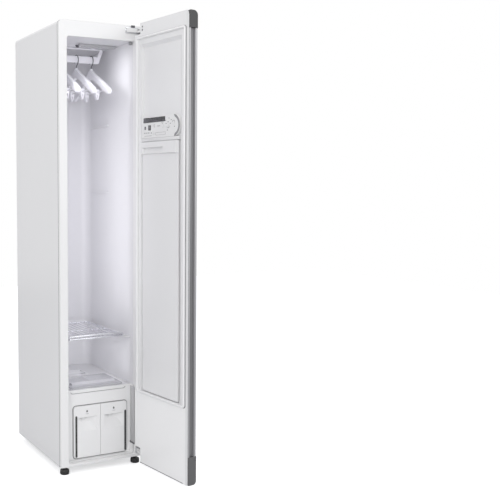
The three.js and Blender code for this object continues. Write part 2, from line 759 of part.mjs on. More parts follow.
// Hangers: a bevelled moulding with a trouser rail, a bent wire hook and two clips on the rail.
const neckZ = holeLow - hanger.hang;
const reach = (chamberBack - hanger.behind - hanger.front) / 2;
const half = armShares.map(([u, v]) => [u * reach, v * armDrop]);
const whole = [...half, ...half.slice(1, -1).reverse().map(([u, v]) => [-u, v])];
const hangerShape = polygon(whole.map(([u, v]) => [barY + u, neckZ + v]).reverse());
const rodZ = neckZ - hanger.rodDrop;
function hangerAt(x) {
  const arms = alongX(hangerShape, x - hanger.thick / 2, x + hanger.thick / 2, 4, hanger.bevel);
  const rodEnds = [-reach * rodShare, reach * rodShare].map((dy) => new THREE.Vector3(x, barY + dy, rodZ));
  const rod = wire(rodEnds, hanger.rod, 8, unitZ, false);
  const neck = post(x, barY, hook.neckRadius, neckZ, neckZ + hook.neck);
  const bore = post(x, barY, hook.wire + gap, neckZ - hook.neckRadius, top);
  return cut(join(arms, rod, neck), bore);
}
const hookTop = holeLow + hook.lift + hook.wire;
const hookCentre = hookTop - hook.bend - hook.wire;
function hookAt(x) {
  const radius = hook.bend + hook.wire;
  const points = [];
  for (let degrees = 205; degrees >= -50; degrees -= 15) {
    const angle = THREE.MathUtils.degToRad(degrees);
    points.push([-Math.cos(angle) * radius, Math.sin(angle) * radius]);
  }
  const [lastY, lastZ] = points[points.length - 1];
  points.push(...hookShares.map(([sideways, drop]) => [lastY * sideways, lastZ - radius * drop]));
  points.push([0, neckZ - hook.neckRadius + gap - hookCentre]);
  const path = points.map(([dy, dz]) => new THREE.Vector3(x, barY + dy, hookCentre + dz));
  return wire(path, hook.wire, 5, unitX, false);
}
const clipShape = new THREE.Shape();
clipShape.moveTo(-clip.thick / 2, clip.above);
clipShape.lineTo(-clip.thick / 2, -clip.above);
clipShape.lineTo(-clip.jaw - clip.lip, -clip.below + clip.jaw);
clipShape.lineTo(-clip.jaw, -clip.below);
clipShape.lineTo(-gap, -clip.below);
clipShape.lineTo(-gap, -clip.below + clip.jaw);
clipShape.lineTo(-clip.jaw + clip.lip, -clip.above - clip.jaw);
clipShape.lineTo(clip.jaw - clip.lip, -clip.above - clip.jaw);
clipShape.lineTo(gap, -clip.below + clip.jaw);
clipShape.lineTo(gap, -clip.below);
clipShape.lineTo(clip.jaw, -clip.below);
clipShape.lineTo(clip.jaw + clip.lip, -clip.below + clip.jaw);
clipShape.lineTo(clip.thick / 2, -clip.above);
clipShape.lineTo(clip.thick / 2, clip.above);
clipShape.lineTo(clip.jaw, clip.above + clip.jaw);
clipShape.lineTo(-clip.jaw, clip.above + clip.jaw);
clipShape.holes.push(circle(0, 0, hanger.rod + clip.bore));
const clipSolid = alongY(clipShape, -clip.width / 2, clip.width / 2, 6);
const spacing = spacingShare * cabinet.width;
[-spacing, 0, spacing].forEach((x, i) => {
  const number = i + 1;
  add(body, `hanger_${number}`, hangerAt(x), "hangerWhite");
  add(body, `hanger_hook_${number}`, hookAt(x), "chrome");
  for (const [end, side] of Object.entries({ front: -1, rear: 1 })) {
    const clipMesh = add(body, `hanger_${number}_clip_${end}`, clipSolid, "hangerWhite");
    clipMesh.position.set(x, barY + side * clip.offset, rodZ);
  }
});

// Tank bay: the recessed lower face, a pocket for both tanks and the walls back to the frame.
const moduleHalf = chamberHalf;
const tankLeft = tank.left - moduleHalf;
const tankRight = moduleHalf - tank.right;
const moduleBack = cabinet.depth - module.machines;
const moduleLow = ground + frame.bottom + gap;
const bayShape = roundedRect(-moduleHalf, moduleHalf, moduleLow, module.top, [
  frame.inner,
  frame.inner,
  0,
  0,
]);
const pocketShape = (grow) =>
  roundedRect(tankLeft - grow, tankRight + grow, tank.low - grow, tank.high + grow, tank.corner + grow);
const pocketCut = alongY(pocketShape(0), 0, moduleBack - module.wall, 4);
const bayFace = alongY(bayShape, module.face, module.face + module.plate, 4);
const pocket = alongY(pocketShape(module.wall), module.face + overlap, moduleBack, 4);
const returnSides = cut(
  alongY(bayShape, shellFront, module.face + overlap, 4),
  alongY(
    roundedRect(
      module.returnWall - moduleHalf,
      moduleHalf - module.returnWall,
      moduleLow + module.returnWall,
      top,
      frame.inner - module.returnWall,
    ),
    0,
    moduleBack,
    4,
  ),
);
add(body, "tank_bay", cut(join(bayFace, pocket, returnSides), pocketCut), "white");

// Tanks: a hollow body with a fill hole, and a front with a scooped grip and a level window.
const tankMiddle = (tankLeft + tankRight) / 2;
const tankBack = moduleBack - tankBody.behind;
const tankLow = tank.low + tank.play;
const tankHigh = tank.high - tank.play;
const outerRound = tank.corner - tank.play;
function tankFront(x0, x1, windowX, radii) {
  const faceBack = tank.front + tank.faceDepth;
  const face = alongY(roundedRect(x0, x1, tankLow, tankHigh, radii), tank.front, faceBack, 4);
  const gripTop = tankHigh - scoop.header;
  const grip = funnelY(
    {
      x0: x0 + scoop.inset + slotWindow.inset,
      x1: x1 - scoop.inset - slotWindow.inset,
      z0: gripTop - scoop.foot,
      z1: gripTop,
      y: tank.front - gap,
    },
    {
      x0: x0 + scoop.inset + slotWindow.inset + scoop.flare,
      x1: x1 - scoop.inset - slotWindow.inset - scoop.flare,
      z0: gripTop - scoop.foot / 3,
      z1: gripTop + scoop.inset,
      y: tank.front + scoop.depth,
    },
  );
  const level = alongY(
    roundedRect(
      windowX - slotWindow.width / 2,
      windowX + slotWindow.width / 2,
      slotWindow.low,
      slotWindow.high,
      slotWindow.width / 2 - gap,
    ),
    tank.front - overlap,
    tank.front + slotWindow.depth,
    4,
  );
  return cut(face, grip, level);
}
function tankShell(x0, x1) {
  const y0 = tank.front + tank.faceDepth + gap;
  const high = tankHigh - tankBody.drop;
  const low = tankLow + tank.play;
  const x = (x0 + x1) / 2;
  const outer = block(x0 + tankBody.taper, x1 - tankBody.taper, y0, tankBack, low, high);
  const inner = block(
    x0 + tankBody.taper + tankBody.wall,
    x1 - tankBody.taper - tankBody.wall,
    y0 + tankBody.wall,
    tankBack - tankBody.wall,
    low + tankBody.wall,
    high - tankBody.wall,
  );
  const y = y0 + 3 * tankBody.fill;
  const collar = post(x, y, tankBody.fill + tankBody.wall, high - overlap, high + tankBody.taper, 16);
  const bore = post(x, y, tankBody.fill, high - tank.faceDepth, top, 16);
  return cut(join(outer, collar), inner, bore);
}
const leftTank = [tankLeft + tank.play, tankMiddle - tank.play / 2];
const rightTank = [tankMiddle + tank.play / 2, tankRight - tank.play];
const leftWindow = leftTank[0] + slotWindow.inset + slotWindow.width;
const rightWindow = rightTank[1] - slotWindow.inset;
add(
  body,
  "supply_tank_front",
  tankFront(...leftTank, leftWindow, [outerRound, 0, 0, outerRound]),
  "white",
);
add(body, "supply_tank", tankShell(...leftTank), "clear");
add(
  body,
  "drain_tank_front",
  tankFront(...rightTank, rightWindow, [0, outerRound, outerRound, 0]),
  "white",
);
add(body, "drain_tank", tankShell(...rightTank), "clear");

// Machines behind the tanks: compressor, heat exchanger, steam boiler and blower.
const compressorY = cabinet.depth - compressor.behind;
const compressorBody = turned(
  compressor.x,
  compressorY,
  [
    [0, compressor.low],
    [compressor.radius - compressor.dome / 2, compressor.low],
    [compressor.radius, compressor.low + compressor.dome],
    [compressor.radius, compressor.high - compressor.dome],
    [compressor.radius - compressor.dome / 2, compressor.high - compressor.leg],
    [0, compressor.high],
  ],
  16,
);
const compressorPlate = block(
  compressor.x - compressorHalf,
  compressor.x + compressorHalf,
  compressorY - compressorHalf,
  compressorY + compressorHalf,
  compressor.low - compressor.plate + overlap,
  compressor.low + overlap,
);
const compressorLegs = [-1, 1].flatMap((a) =>
  [-1, 1].map((b) =>
    post(
      compressor.x + a * (compressorHalf - 2 * compressor.leg),
      compressorY + b * (compressorHalf - 2 * compressor.leg),
      compressor.leg,
      ground + sheet + gap,
      compressor.low,
    ),
  ),
);
add(body, "compressor", join(compressorBody, compressorPlate, ...compressorLegs), "machine");

const boilerY = cabinet.depth - boiler.behind;
const boilerFront = boilerY - boiler.depth / 2;
const boilerBack = boilerY + boiler.depth / 2;
const boilerTop = boiler.low + boiler.height;
const boilerPitch = (2 * boiler.half) / (boiler.fins + 1);
const boilerGrooves = Array.from({ length: boiler.fins }, (_, i) => {
  const x = boiler.x - boiler.half + (i + 1) * boilerPitch;
  return block(x - boiler.fin / 2, x + boiler.fin / 2, boilerFront - overlap, boilerBack + overlap,
    boilerTop - boiler.cut, boilerTop + overlap);
});
const boilerLegs = [-1, 1].map((a) =>
  block(
    boiler.x + a * (boiler.half - boiler.fin) - boiler.fin,
    boiler.x + a * (boiler.half - boiler.fin) + boiler.fin,
    boilerFront,
    boilerBack,
    ground + sheet + gap,
    boiler.low + overlap,
  ),
);
const boilerBlock = block(
  boiler.x - boiler.half,
  boiler.x + boiler.half,
  boilerFront,
  boilerBack,
  boiler.low,
  boilerTop,
);
add(body, "steam_boiler", join(cut(boilerBlock, ...boilerGrooves), ...boilerLegs), "copper");

const coilFront = moduleBack + coil.behind;
const coilHalf = moduleHalf - coil.side;
const coilPitch = (2 * coilHalf) / coil.fins;
const coilGrooves = Array.from({ length: coil.fins - 1 }, (_, i) => {
  const x = -coilHalf + (i + 1) * coilPitch;
  const grooveAt = (y0, y1) => block(x - coil.fin / 2, x + coil.fin / 2, y0, y1, coil.low - overlap, top);
  return [
    grooveAt(coilFront - overlap, coilFront + coil.cut),
    grooveAt(coilFront + coil.depth - coil.cut, coilFront + coil.depth + overlap),
  ];
}).flat();
const coilBlock = block(
  -coilHalf,
  coilHalf,
  coilFront,
  coilFront + coil.depth,
  coil.low,
  coil.low + coil.height,
);
const coilPlate = block(
  -coilHalf,
  coil.plate - coilHalf,
  coilFront,
  coilFront + coil.depth,
  ground + sheet + gap,
  coil.low + overlap,
);
add(body, "heat_exchanger", join(cut(coilBlock, ...coilGrooves), coilPlate, mirrored(coilPlate)), "copper");

const blowerLow = boilerTop + blower.rise;
const scroll = new THREE.Shape();
const scrollPoints = Array.from({ length: 25 }, (_, i) => {
  const angle = (Math.PI * 1.75 * i) / 24;
  const radius = blower.radius - (i * (blower.radius - blower.mouth)) / 24 / 2;
  return [boiler.x + radius * Math.cos(angle), boilerY + radius * Math.sin(angle)];
});
scroll.moveTo(boiler.x + blower.radius, boilerY - blower.reach);
scrollPoints.forEach(([u, v]) => scroll.lineTo(u, v));
scroll.lineTo(scrollPoints[24][0], boilerY - blower.reach);
const eye = post(boiler.x, boilerY, blower.eye, blowerLow + blower.wall, top, 24);
const bracketAt = (reach, z) =>
  block(
    boiler.x - reach,
    boiler.x + reach,
    boilerY - blower.eye / 2,
    boilerY + blower.eye / 2,
    z,
    blowerLow + blower.wall,
  );
const blowerBracket = cut(
  bracketAt(blower.radius, ground + sheet + gap),
  bracketAt(blower.radius - blowerLeg, ground).translate(0, 0, -blower.wall),
);
const blowerBody = cut(alongZ(scroll, blowerLow, blowerLow + blower.height), eye);
add(body, "blower", join(blowerBody, blowerBracket), "machine");

// Hinge brackets: a leaf on the frame, a rounded arm and the pin that the door turns on.
function armSolid(z0, z1) {
  const shape = new THREE.Shape();
  shape.moveTo(pinX - hinge.armHalf, -gap);
  shape.absarc(pinX, pinY, hinge.armHalf, Math.PI, Math.PI * 2, false);
  shape.lineTo(pinX + hinge.armHalf, -gap);
  return alongZ(shape, z0, z1, 6);
}
function leafSolid(z0, z1, width) {
  const x1 = halfWidth - leafPlate.inset;
  const shape = roundedRect(x1 - width, x1, z0, z1, leafPlate.corner);
  return alongY(shape, -hinge.leaf - gap, -gap, 3);
}
const upperArm = doorHigh - notch.topHeight / 2;
const upperBracket = join(
  leafSolid(upperArm - leafPlate.height / 2, upperArm + leafPlate.height / 2, leafPlate.width),
  armSolid(upperArm, upperArm + hinge.arm),
  post(pinX, pinY, hinge.pin, doorHigh - notch.topHeight - boss.height + boss.short, upperArm + overlap),
  post(pinX, pinY, hinge.head, upperArm, upperArm + hinge.arm + hinge.headHeight),
);
add(body, "upper_hinge_bracket", upperBracket, "steel");
const lowerArm = door.low + notch.lowHeight - notch.topHeight / 2 - hinge.arm;
const lowerBracket = join(
  leafSolid(lowerArm - leafPlate.height / 2, lowerArm + leafPlate.height / 2, leafPlate.lowWidth),
  armSolid(lowerArm, lowerArm + hinge.arm),
  post(pinX, pinY, hinge.pin, lowerArm + overlap, door.low + notch.lowHeight + boss.height - boss.short),
  post(pinX, pinY, hinge.head, lowerArm - hinge.headHeight, lowerArm + hinge.arm),
);
add(body, "lower_hinge_bracket", lowerBracket, "steel");

// The door, modelled closed about its hinge pin and then turned open with its group.
// In the group, X 0 and Y 0 are the pin, Y rises to the inner face and the free edge lies at low X.
const doorGroup = new THREE.Group();
doorGroup.name = "door_group";
doorGroup.position.set(pinX, pinY, 0);
doorGroup.rotation.z = THREE.MathUtils.degToRad(door.open);
body.add(doorGroup);
const inner = hinge.forward - door.inner;
const front = inner - door.thick;
const end = hinge.inset;
const free = end - cabinet.width;
const trimEnd = free + trim.width;
const linerBack = inner - door.liner;
const skinBack = front + door.skin;
const fromHinge = (distance) => -distance;
const fromFree = (distance) => distance - cabinet.width;

const notchSide = -notch.width + hinge.armHalf / 2;
const notchCut = (z0, z1) => block(notchSide, end + overlap, front + notch.skin, inner + overlap, z0, z1);
const notches = [
  notchCut(doorHigh - notch.topHeight, doorHigh + overlap),
  notchCut(door.low - overlap, door.low + notch.lowHeight),
];
// The white lining of a notch, which belongs to the liner, and the room that the foam leaves for it.
function notchLining(grow, y1) {
  const wall = notch.wall + grow;
  const at = (z0, z1) => block(notchSide - wall, end - door.corner, skinBack + gap - grow, y1, z0, z1);
  return [
    at(doorHigh - notch.topHeight - wall, doorHigh - door.skin - gap + grow),
    at(door.low + door.skin + gap - grow, door.low + notch.lowHeight + wall),
  ];
}

// Outer panel: a pressed steel tray with a rounded hinge edge and folded ends.
const skinShape = new THREE.Shape();
skinShape.moveTo(trimEnd + gap, front);
skinShape.lineTo(end - door.corner, front);
skinShape.absarc(end - door.corner, front + door.corner, door.corner, -Math.PI / 2, 0, false);
skinShape.lineTo(end, linerBack - gap);
skinShape.lineTo(end - door.skin, linerBack - gap);
skinShape.lineTo(end - door.skin, front + door.corner);
skinShape.absarc(end - door.corner, front + door.corner, door.corner - door.skin, 0, -Math.PI / 2, true);
skinShape.lineTo(trimEnd + gap, skinBack);
const skinEnd = (z0, z1) =>
  block(trimEnd + gap, end - door.corner, front + overlap, linerBack - gap, z0, z1);
const outerPanel = cut(
  join(
    alongZ(skinShape, door.low, doorHigh, 5),
    skinEnd(doorHigh - door.skin, doorHigh),
    skinEnd(door.low, door.low + door.skin),
  ),
  ...notches,
);
add(doorGroup, "door_outer_panel", outerPanel, "doorSkin");

// Foam core between the outer panel and the liner, cut round the hinge bosses.
const bossCuts = [
  post(0, 0, boss.radius + gap, doorHigh - notch.topHeight - boss.height - gap, doorHigh),
  post(0, 0, boss.radius + gap, door.low, door.low + notch.lowHeight + boss.height + gap),
];
const core = cut(
  block(
    trimEnd + gap,
    end - door.corner,
    skinBack + gap,
    linerBack - gap,
    door.low + door.skin + gap,
    doorHigh - door.skin - gap,
  ),
  ...notchLining(gap, inner),
  ...bossCuts,
);
add(doorGroup, "door_core", core, "foam");

// Liner: a moulding with a sloped recess for the control panel and the trouser press.
const linerShape = (z0, z1) => block(trimEnd + gap, end, linerBack, inner, z0, z1);
const recessFloor = inner - recessDepth;
const recessTop = doorHigh - recess.above;
const recessCut = funnelY(
  {
    x0: fromFree(recess.free),
    x1: fromHinge(recess.hinge),
    z0: recess.low,
    z1: recessTop - recess.topSlope,
    y: recessFloor,
  },
  {
    x0: fromFree(recess.free - recess.slope),
    x1: fromHinge(recess.hinge - recess.hingeSlope),
    z0: recess.low - gap,
    z1: recessTop,
    y: inner + gap,
  },
);
const panelLow = doorHigh - panel.drop - panel.height;
const panelMiddle = panelLow + panel.height / 2;
function panelOutline(grow) {
  const radius = panel.height / 2 + grow;
  const shape = new THREE.Shape();
  shape.moveTo(fromHinge(panel.hinge - grow / 2), panelMiddle - radius);
  shape.lineTo(fromHinge(panel.hinge - grow / 2), panelMiddle + radius);
  shape.lineTo(fromFree(panel.free) + radius - grow, panelMiddle + radius);
  shape.absarc(
    fromFree(panel.free) + radius - grow,
    panelMiddle,
    radius,
    Math.PI / 2,
    Math.PI * 1.5,
    false,
  );
  return shape;
}
const panelPocket = alongY(panelOutline(panel.cut), recessFloor, inner + overlap, 12);
const upperBossLow = doorHigh - notch.topHeight - boss.height;
const upperBoss = post(0, 0, boss.radius, upperBossLow, doorHigh - notch.topHeight);
const upperBore = post(0, 0, hinge.pin + boss.play, upperBossLow + boss.end, top);
const linerSolid = cut(
  join(
    cut(linerShape(doorSplit + gap / 2, doorHigh), recessCut, panelPocket),
    upperBoss,
    notchLining(0, inner - overlap)[0],
  ),
  upperBore,
  ...notches,
);
add(doorGroup, "door_liner", linerSolid, "white");

// Lower door panel, below the chamber, with the lower hinge boss.
const lowerBossHigh = door.low + notch.lowHeight + boss.height;
const lowerBoss = post(0, 0, boss.radius, door.low + notch.lowHeight, lowerBossHigh);
const lowerBore = post(0, 0, hinge.pin + boss.play, ground, lowerBossHigh - boss.end);
const lowerPanel = cut(
  join(linerShape(door.low, doorSplit - gap / 2), lowerBoss, notchLining(0, inner - overlap)[1]),
  lowerBore,
  ...notches,
);
add(doorGroup, "door_lower_panel", lowerPanel, "white");

// Gasket: a soft ring that closes on the front frame.
const gasketHigh = doorHigh - gasket.above;
const gasketFree = fromFree(gasket.free);
const gasketShape = roundedRect(gasketFree, 0, gasket.low, gasketHigh, gasket.corner);
gasketShape.holes.push(
  roundedRect(
    gasketFree + gasket.width,
    -gasket.width,
    gasket.low + gasket.width,
    gasketHigh - gasket.width,
    gasket.corner / 2,
  ),
);
const gasketGrooveShape = roundedRect(
  gasketFree + gasket.channel,
  -gasket.channel,
  gasket.low + gasket.channel,
  gasketHigh - gasket.channel,
  gasket.corner - gasket.channel,
);
gasketGrooveShape.holes.push(
  roundedRect(
    gasketFree + gasket.width - gasket.channel,
    gasket.channel - gasket.width,
    gasket.low + gasket.width - gasket.channel,
    gasketHigh - gasket.width + gasket.channel,
    gasket.corner / 2,
  ),
);
const gasketLow = inner + gap;
const gasketTop = gasketLow + gasket.height;
const gasketSolid = cut(
  alongY(gasketShape, gasketLow, gasketTop, 3),
  alongY(gasketGrooveShape, gasketTop - gasket.channel, gasketTop + overlap, 3),
);
add(doorGroup, "door_gasket", gasketSolid, "gasketGrey");

// Edge trim on the free side with its grip groove, and the dark caps at its ends.
function trimOutline(grooved) {
  const points = new THREE.Shape();
  points.moveTo(trimEnd, front);
  points.lineTo(trimEnd, inner);
  points.lineTo(free + trim.corner, inner);
  points.absarc(free + trim.corner, inner - trim.corner, trim.corner, Math.PI / 2, Math.PI, false);
  if (grooved) {
    points.lineTo(free, trim.grooveHigh);
    points.lineTo(free + trim.groove, trim.grooveHigh - trim.corner / 3);
    points.lineTo(free + trim.groove, trim.grooveLow + trim.corner / 2);
    points.lineTo(free, trim.grooveLow);
  }
  points.lineTo(free, front + trim.corner);
  points.absarc(free + trim.corner, front + trim.corner, trim.corner, Math.PI, Math.PI * 1.5, false);
  return points;
}
const capTopLow = doorHigh - trim.capTop;
const capLowHigh = door.low + trim.capLow;
const trimSolid = alongZ(trimOutline(true), capLowHigh + gap, capTopLow - gap, 5);
add(doorGroup, "door_edge_trim", trimSolid, "trimMetal");
function capSolid(z0, z1, sideRadii, faceRadii) {
  const side = roundedRect(front - overlap, inner + overlap, z0, z1, sideRadii);
  const face = roundedRect(free, trimEnd + overlap, z0, z1, faceRadii);
  return alongZ(trimOutline(false), z0, z1, 5)
    .intersect(alongX(side, free - overlap, trimEnd + overlap, 6))
    .intersect(alongY(face, front - overlap, inner + overlap, 6));
}
const capTop = capSolid(capTopLow, doorHigh, [0, 0, overlap, trimRound], [0, 0, 0, trimRound]);
const capLow = capSolid(door.low, capLowHigh, [trimRound, overlap, 0, 0], [trimRound, 0, 0, 0]);
add(doorGroup, "edge_cap_top", capTop, "charcoal");
add(doorGroup, "edge_cap_low", capLow, "charcoal");

// Control panel: a D-shaped plate with a sunk display, two digit windows and bores for its buttons.
const panelBack = recessFloor + gap;
const panelPlate = alongY(panelOutline(0), panelBack, panel.face, 12, overlap);
const buttonSpots = Object.entries(buttonShares).map(([name, [across, rise]]) => ({
  name,
  distance: across * cabinet.width,
  z: panelLow + rise * panel.height,
}));
const displayCut = block(
  fromFree(display.free),
  fromHinge(display.hinge),
  panel.face - display.depth,
  panel.face + overlap,
  panelLow + display.low,
  panelLow + display.low + display.height,
);
const digitCuts = digitShares.map(({ near, far, low, high }) =>
  block(
    fromHinge(far * cabinet.width),
    fromHinge(near * cabinet.width),
    panel.face - digitDepth,
    panel.face + overlap,
    panelLow + low * panel.height,
    panelLow + high * panel.height,
  ),
);
const buttonSolid = (distance, z) =>
  alongY(circle(fromHinge(distance), z, button.radius), panel.face - button.height + button.proud,
    panel.face + button.proud, 8, button.play);
const buttonBore = (distance, z) =>
  alongY(circle(fromHinge(distance), z, button.radius + button.play), panel.face - button.height - gap,
    panel.face + overlap, 8);
const panelSolid = cut(
  panelPlate,
  displayCut,
  ...digitCuts,
  ...buttonSpots.map(({ distance, z }) => buttonBore(distance, z)),
);
add(doorGroup, "control_panel", panelSolid, "control");
for (const { name, distance, z } of buttonSpots) {
  add(doorGroup, `${name}_button`, buttonSolid(distance, z), "control");
}

// Trouser press: a long plate on a pivot beside the hinge, with a raised block that is hollowed out
// from below as a pull, over a soft pad.
const pressBack = recessFloor + pressPad.thick + 2 * gap;
const pressFace = pressBack + press.thick;
const pressHigh = panelLow - press.below;
const blockFace = pressFace + pullBlock.rise;
const blockLow = pressHigh - pullBlock.height;
const pullHigh = pressHigh - pull.below;
const pressPlate = alongY(
  roundedRect(fromFree(press.free), fromHinge(press.hinge), press.low, pressHigh, [
    press.corner,
    sheet,
    sheet,
    press.corner,
  ]),
  pressBack,
  pressFace,
  4,
  overlap,
);
const raisedBlock = funnelY(
  {
    x0: fromFree(press.free) + overlap,
    x1: fromHinge(press.hinge) - overlap,
    z0: blockLow,
    z1: pressHigh - overlap,
    y: pressFace - overlap,
  },
  {
    x0: fromFree(press.free + pullBlock.slope),
    x1: fromHinge(press.hinge) - overlap,
    z0: blockLow + pullBlock.slope / 2,
    z1: pressHigh - pullBlock.slope / 2,
    y: blockFace,
  },
);
const pullCut = funnelY(
  {
    x0: fromFree(pull.free + pull.slope),
    x1: fromHinge(pull.hinge + pull.slope),
    z0: blockLow + pull.fade,
    z1: pullHigh - overlap,
    y: blockFace - pull.depth,
  },
  {
    x0: fromFree(pull.free),
    x1: fromHinge(pull.hinge),
    z0: blockLow - pull.slope,
    z1: pullHigh,
    y: blockFace + gap,
  },
);
add(doorGroup, "press_plate", cut(join(pressPlate, raisedBlock), pullCut), "white");
const padHigh = pressHigh - pressPad.below;
const padSolid = alongY(
  roundedRect(fromFree(pressPad.free), fromHinge(pressPad.hinge), pressPad.low, padHigh, press.corner),
  recessFloor + gap,
  recessFloor + gap + pressPad.thick,
  4,
);
add(doorGroup, "press_pad", padSolid, "pad");

// The part's own frame: the middle of its footprint, on the floor.
root.updateMatrixWorld(true);
const bounds = new THREE.Box3().setFromObject(root, true);
const centre = bounds.getCenter(new THREE.Vector3());
body.position.set(-centre.x, -centre.y, -bounds.min.z);

export default root;
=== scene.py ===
import math

import bpy
from mathutils import Matrix, Vector


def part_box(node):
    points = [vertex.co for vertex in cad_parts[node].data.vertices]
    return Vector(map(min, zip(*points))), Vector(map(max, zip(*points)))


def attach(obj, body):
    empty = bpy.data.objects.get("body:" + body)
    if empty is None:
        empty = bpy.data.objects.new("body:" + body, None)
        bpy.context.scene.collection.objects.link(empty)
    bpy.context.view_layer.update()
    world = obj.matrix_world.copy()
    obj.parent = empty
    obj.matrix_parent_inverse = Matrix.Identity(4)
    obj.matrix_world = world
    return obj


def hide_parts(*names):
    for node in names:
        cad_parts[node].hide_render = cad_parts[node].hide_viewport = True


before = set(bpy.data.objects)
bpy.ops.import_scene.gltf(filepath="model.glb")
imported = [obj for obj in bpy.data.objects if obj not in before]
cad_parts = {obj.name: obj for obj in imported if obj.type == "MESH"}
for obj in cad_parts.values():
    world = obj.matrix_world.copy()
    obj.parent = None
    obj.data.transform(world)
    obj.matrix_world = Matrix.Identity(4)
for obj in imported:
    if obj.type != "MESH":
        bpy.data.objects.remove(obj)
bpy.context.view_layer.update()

# ---- The studio: a plain pale floor that fades into white, soft lamps from the front and above, and
# the camera at the photograph's viewpoint, low on the left with the cabinet at the left of the frame.
bpy.ops.mesh.primitive_plane_add(size=12, location=(0, 0, 0))
floor = bpy.context.object
floor.name = "studio_floor"


def add_node(tree, kind, **values):
    """A new shader node with values for its sockets, where an underscore stands for a space."""
    node = tree.nodes.new("ShaderNode" + kind)
    for label, value in values.items():
        node.inputs[label.replace("_", " ")].default_value = value
    return node


def add_sum(tree, operation, second=None):
    node = add_node(tree, "Math")
    node.operation = operation
    if second is not None:
        node.inputs[1].default_value = second
    return node


def link_all(tree, links):
    for giver, label, taker, socket in links:
        tree.links.new(giver.outputs[label], taker.inputs[socket])


floor_paint = bpy.data.materials.new("studio_floor_paint")
floor_paint.use_nodes = True
tree = floor_paint.node_tree
tree.nodes.clear()
out = add_node(tree, "OutputMaterial")
mix = add_node(tree, "MixShader")
matte = add_node(tree, "BsdfDiffuse", Color=(0.93, 0.93, 0.935, 1))
glow = add_node(tree, "Emission", Color=(1, 1, 1, 1), Strength=0.55)
both = add_node(tree, "AddShader")
plain = add_node(tree, "BsdfDiffuse", Color=(0.9, 0.9, 0.905, 1))
rays = add_node(tree, "LightPath")
link_all(tree, (
    (matte, 0, both, 0),
    (glow, 0, both, 1),
    (rays, "Is Camera Ray", mix, 0),
    (plain, 0, mix, 1),
    (both, 0, mix, 2),
    (mix, 0, out, "Surface"),
))
floor.data.materials.append(floor_paint)

world = bpy.data.worlds.new("studio_air")
bpy.context.scene.world = world
world.use_nodes = True
tree = world.node_tree
tree.nodes.clear()
out = add_node(tree, "OutputWorld")
seen = add_node(tree, "Background", Color=(1, 1, 1, 1), Strength=1.0)
fill = add_node(tree, "Background", Color=(0.97, 0.975, 1, 1), Strength=0.62)
pick = add_node(tree, "MixShader")
rays = add_node(tree, "LightPath")
first = add_sum(tree, "MAXIMUM")
second = add_sum(tree, "MAXIMUM")
link_all(tree, (
    (rays, "Is Camera Ray", first, 0),
    (rays, "Is Glossy Ray", first, 1),
    (first, 0, second, 0),
    (rays, "Is Transmission Ray", second, 1),
    (second, 0, pick, 0),
    (fill, 0, pick, 1),
    (seen, 0, pick, 2),
    (pick, 0, out, "Surface"),
))


def studio_lamp(name, place, target, width, height, watts, colour, spread=180):
    bpy.ops.object.light_add(type="AREA", location=place)
    lamp = bpy.context.object
    lamp.name = name
    lamp.data.shape = "RECTANGLE"
    lamp.data.size = width
    lamp.data.size_y = height
    lamp.data.energy = watts
    lamp.data.color = colour
    lamp.data.spread = math.radians(spread)
    aim = Vector(target) - Vector(place)
    lamp.rotation_euler = aim.to_track_quat("-Z", "Y").to_euler()
    return lamp


studio_lamp("studio_key", (-2.6, -3.4, 3.4), (0, 0, 0.95), 2.4, 2.4, 63, (1, 0.99, 0.98))
studio_lamp("studio_fill", (2.4, -3.6, 2.2), (0, 0, 0.9), 2.6, 2.6, 33, (0.98, 0.99, 1))
studio_lamp("studio_top", (0, 0.2, 4.2), (0, 0, 0.9), 2.6, 2.6, 21, (1, 1, 1))

bpy.ops.object.camera_add(location=(-1.41146, -3.16751, 1.1974))
camera = bpy.context.object
camera.name = "photo_camera"
camera.rotation_euler = (math.radians(86.435), 0, math.radians(-26.869))
camera.data.lens = 59.146
camera.data.sensor_width = 36
camera.data.shift_x = 0.22
camera.data.shift_y = -0.03
bpy.context.scene.camera = camera
bpy.context.scene.view_settings.view_transform = "Standard"

# ---- Cabinet shell: folded steel sheet for both sides, the top and the back, painted a warm
# white-grey and baked, so the paint has a faint orange peel and catches light along its folds.
# The sides turn into the top in a round fold of their own.
skin = bpy.data.node_groups.new("surface_life", "ShaderNodeTree")
for label, kind, value in (
    ("Colour", "NodeSocketColor", (0.8, 0.8, 0.8, 1)),
    ("Roughness", "NodeSocketFloat", 0.4),
    ("Mottle", "NodeSocketFloat", 0.02),
    ("Grain size", "NodeSocketFloat", 400.0),
    ("Grain depth", "NodeSocketFloat", 0.1),
    ("Edge round", "NodeSocketFloat", 0.0008),
    ("Dust", "NodeSocketFloat", 0.0),
):
    socket = skin.interface.new_socket(label, in_out="INPUT", socket_type=kind)
    socket.default_value = value
for label, kind in (
    ("Colour", "NodeSocketColor"), ("Roughness", "NodeSocketFloat"), ("Normal", "NodeSocketVector"),
):
    skin.interface.new_socket(label, in_out="OUTPUT", socket_type=kind)
enter = skin.nodes.new("NodeGroupInput")
leave = skin.nodes.new("NodeGroupOutput")
place = add_node(skin, "TexCoord")
broad = add_node(skin, "TexNoise", Scale=3.5, Detail=3)
fine = add_node(skin, "TexNoise", Detail=2)
streak = add_node(skin, "TexNoise", Scale=26, Detail=4)
tint = add_node(skin, "HueSaturation")
rounded = add_node(skin, "Bevel")
rounded.samples = 4
bump = add_node(skin, "Bump", Distance=0.0004)
dust_mix = add_node(skin, "Mix")
dust_mix.data_type = "RGBA"
dust_mix.inputs["B"].default_value = (0.62, 0.6, 0.56, 1)
up = add_node(skin, "NewGeometry")
split = add_node(skin, "SeparateXYZ")
centred = add_sum(skin, "SUBTRACT", 0.5)
swing = add_sum(skin, "MULTIPLY")
bright = add_sum(skin, "ADD", 1)
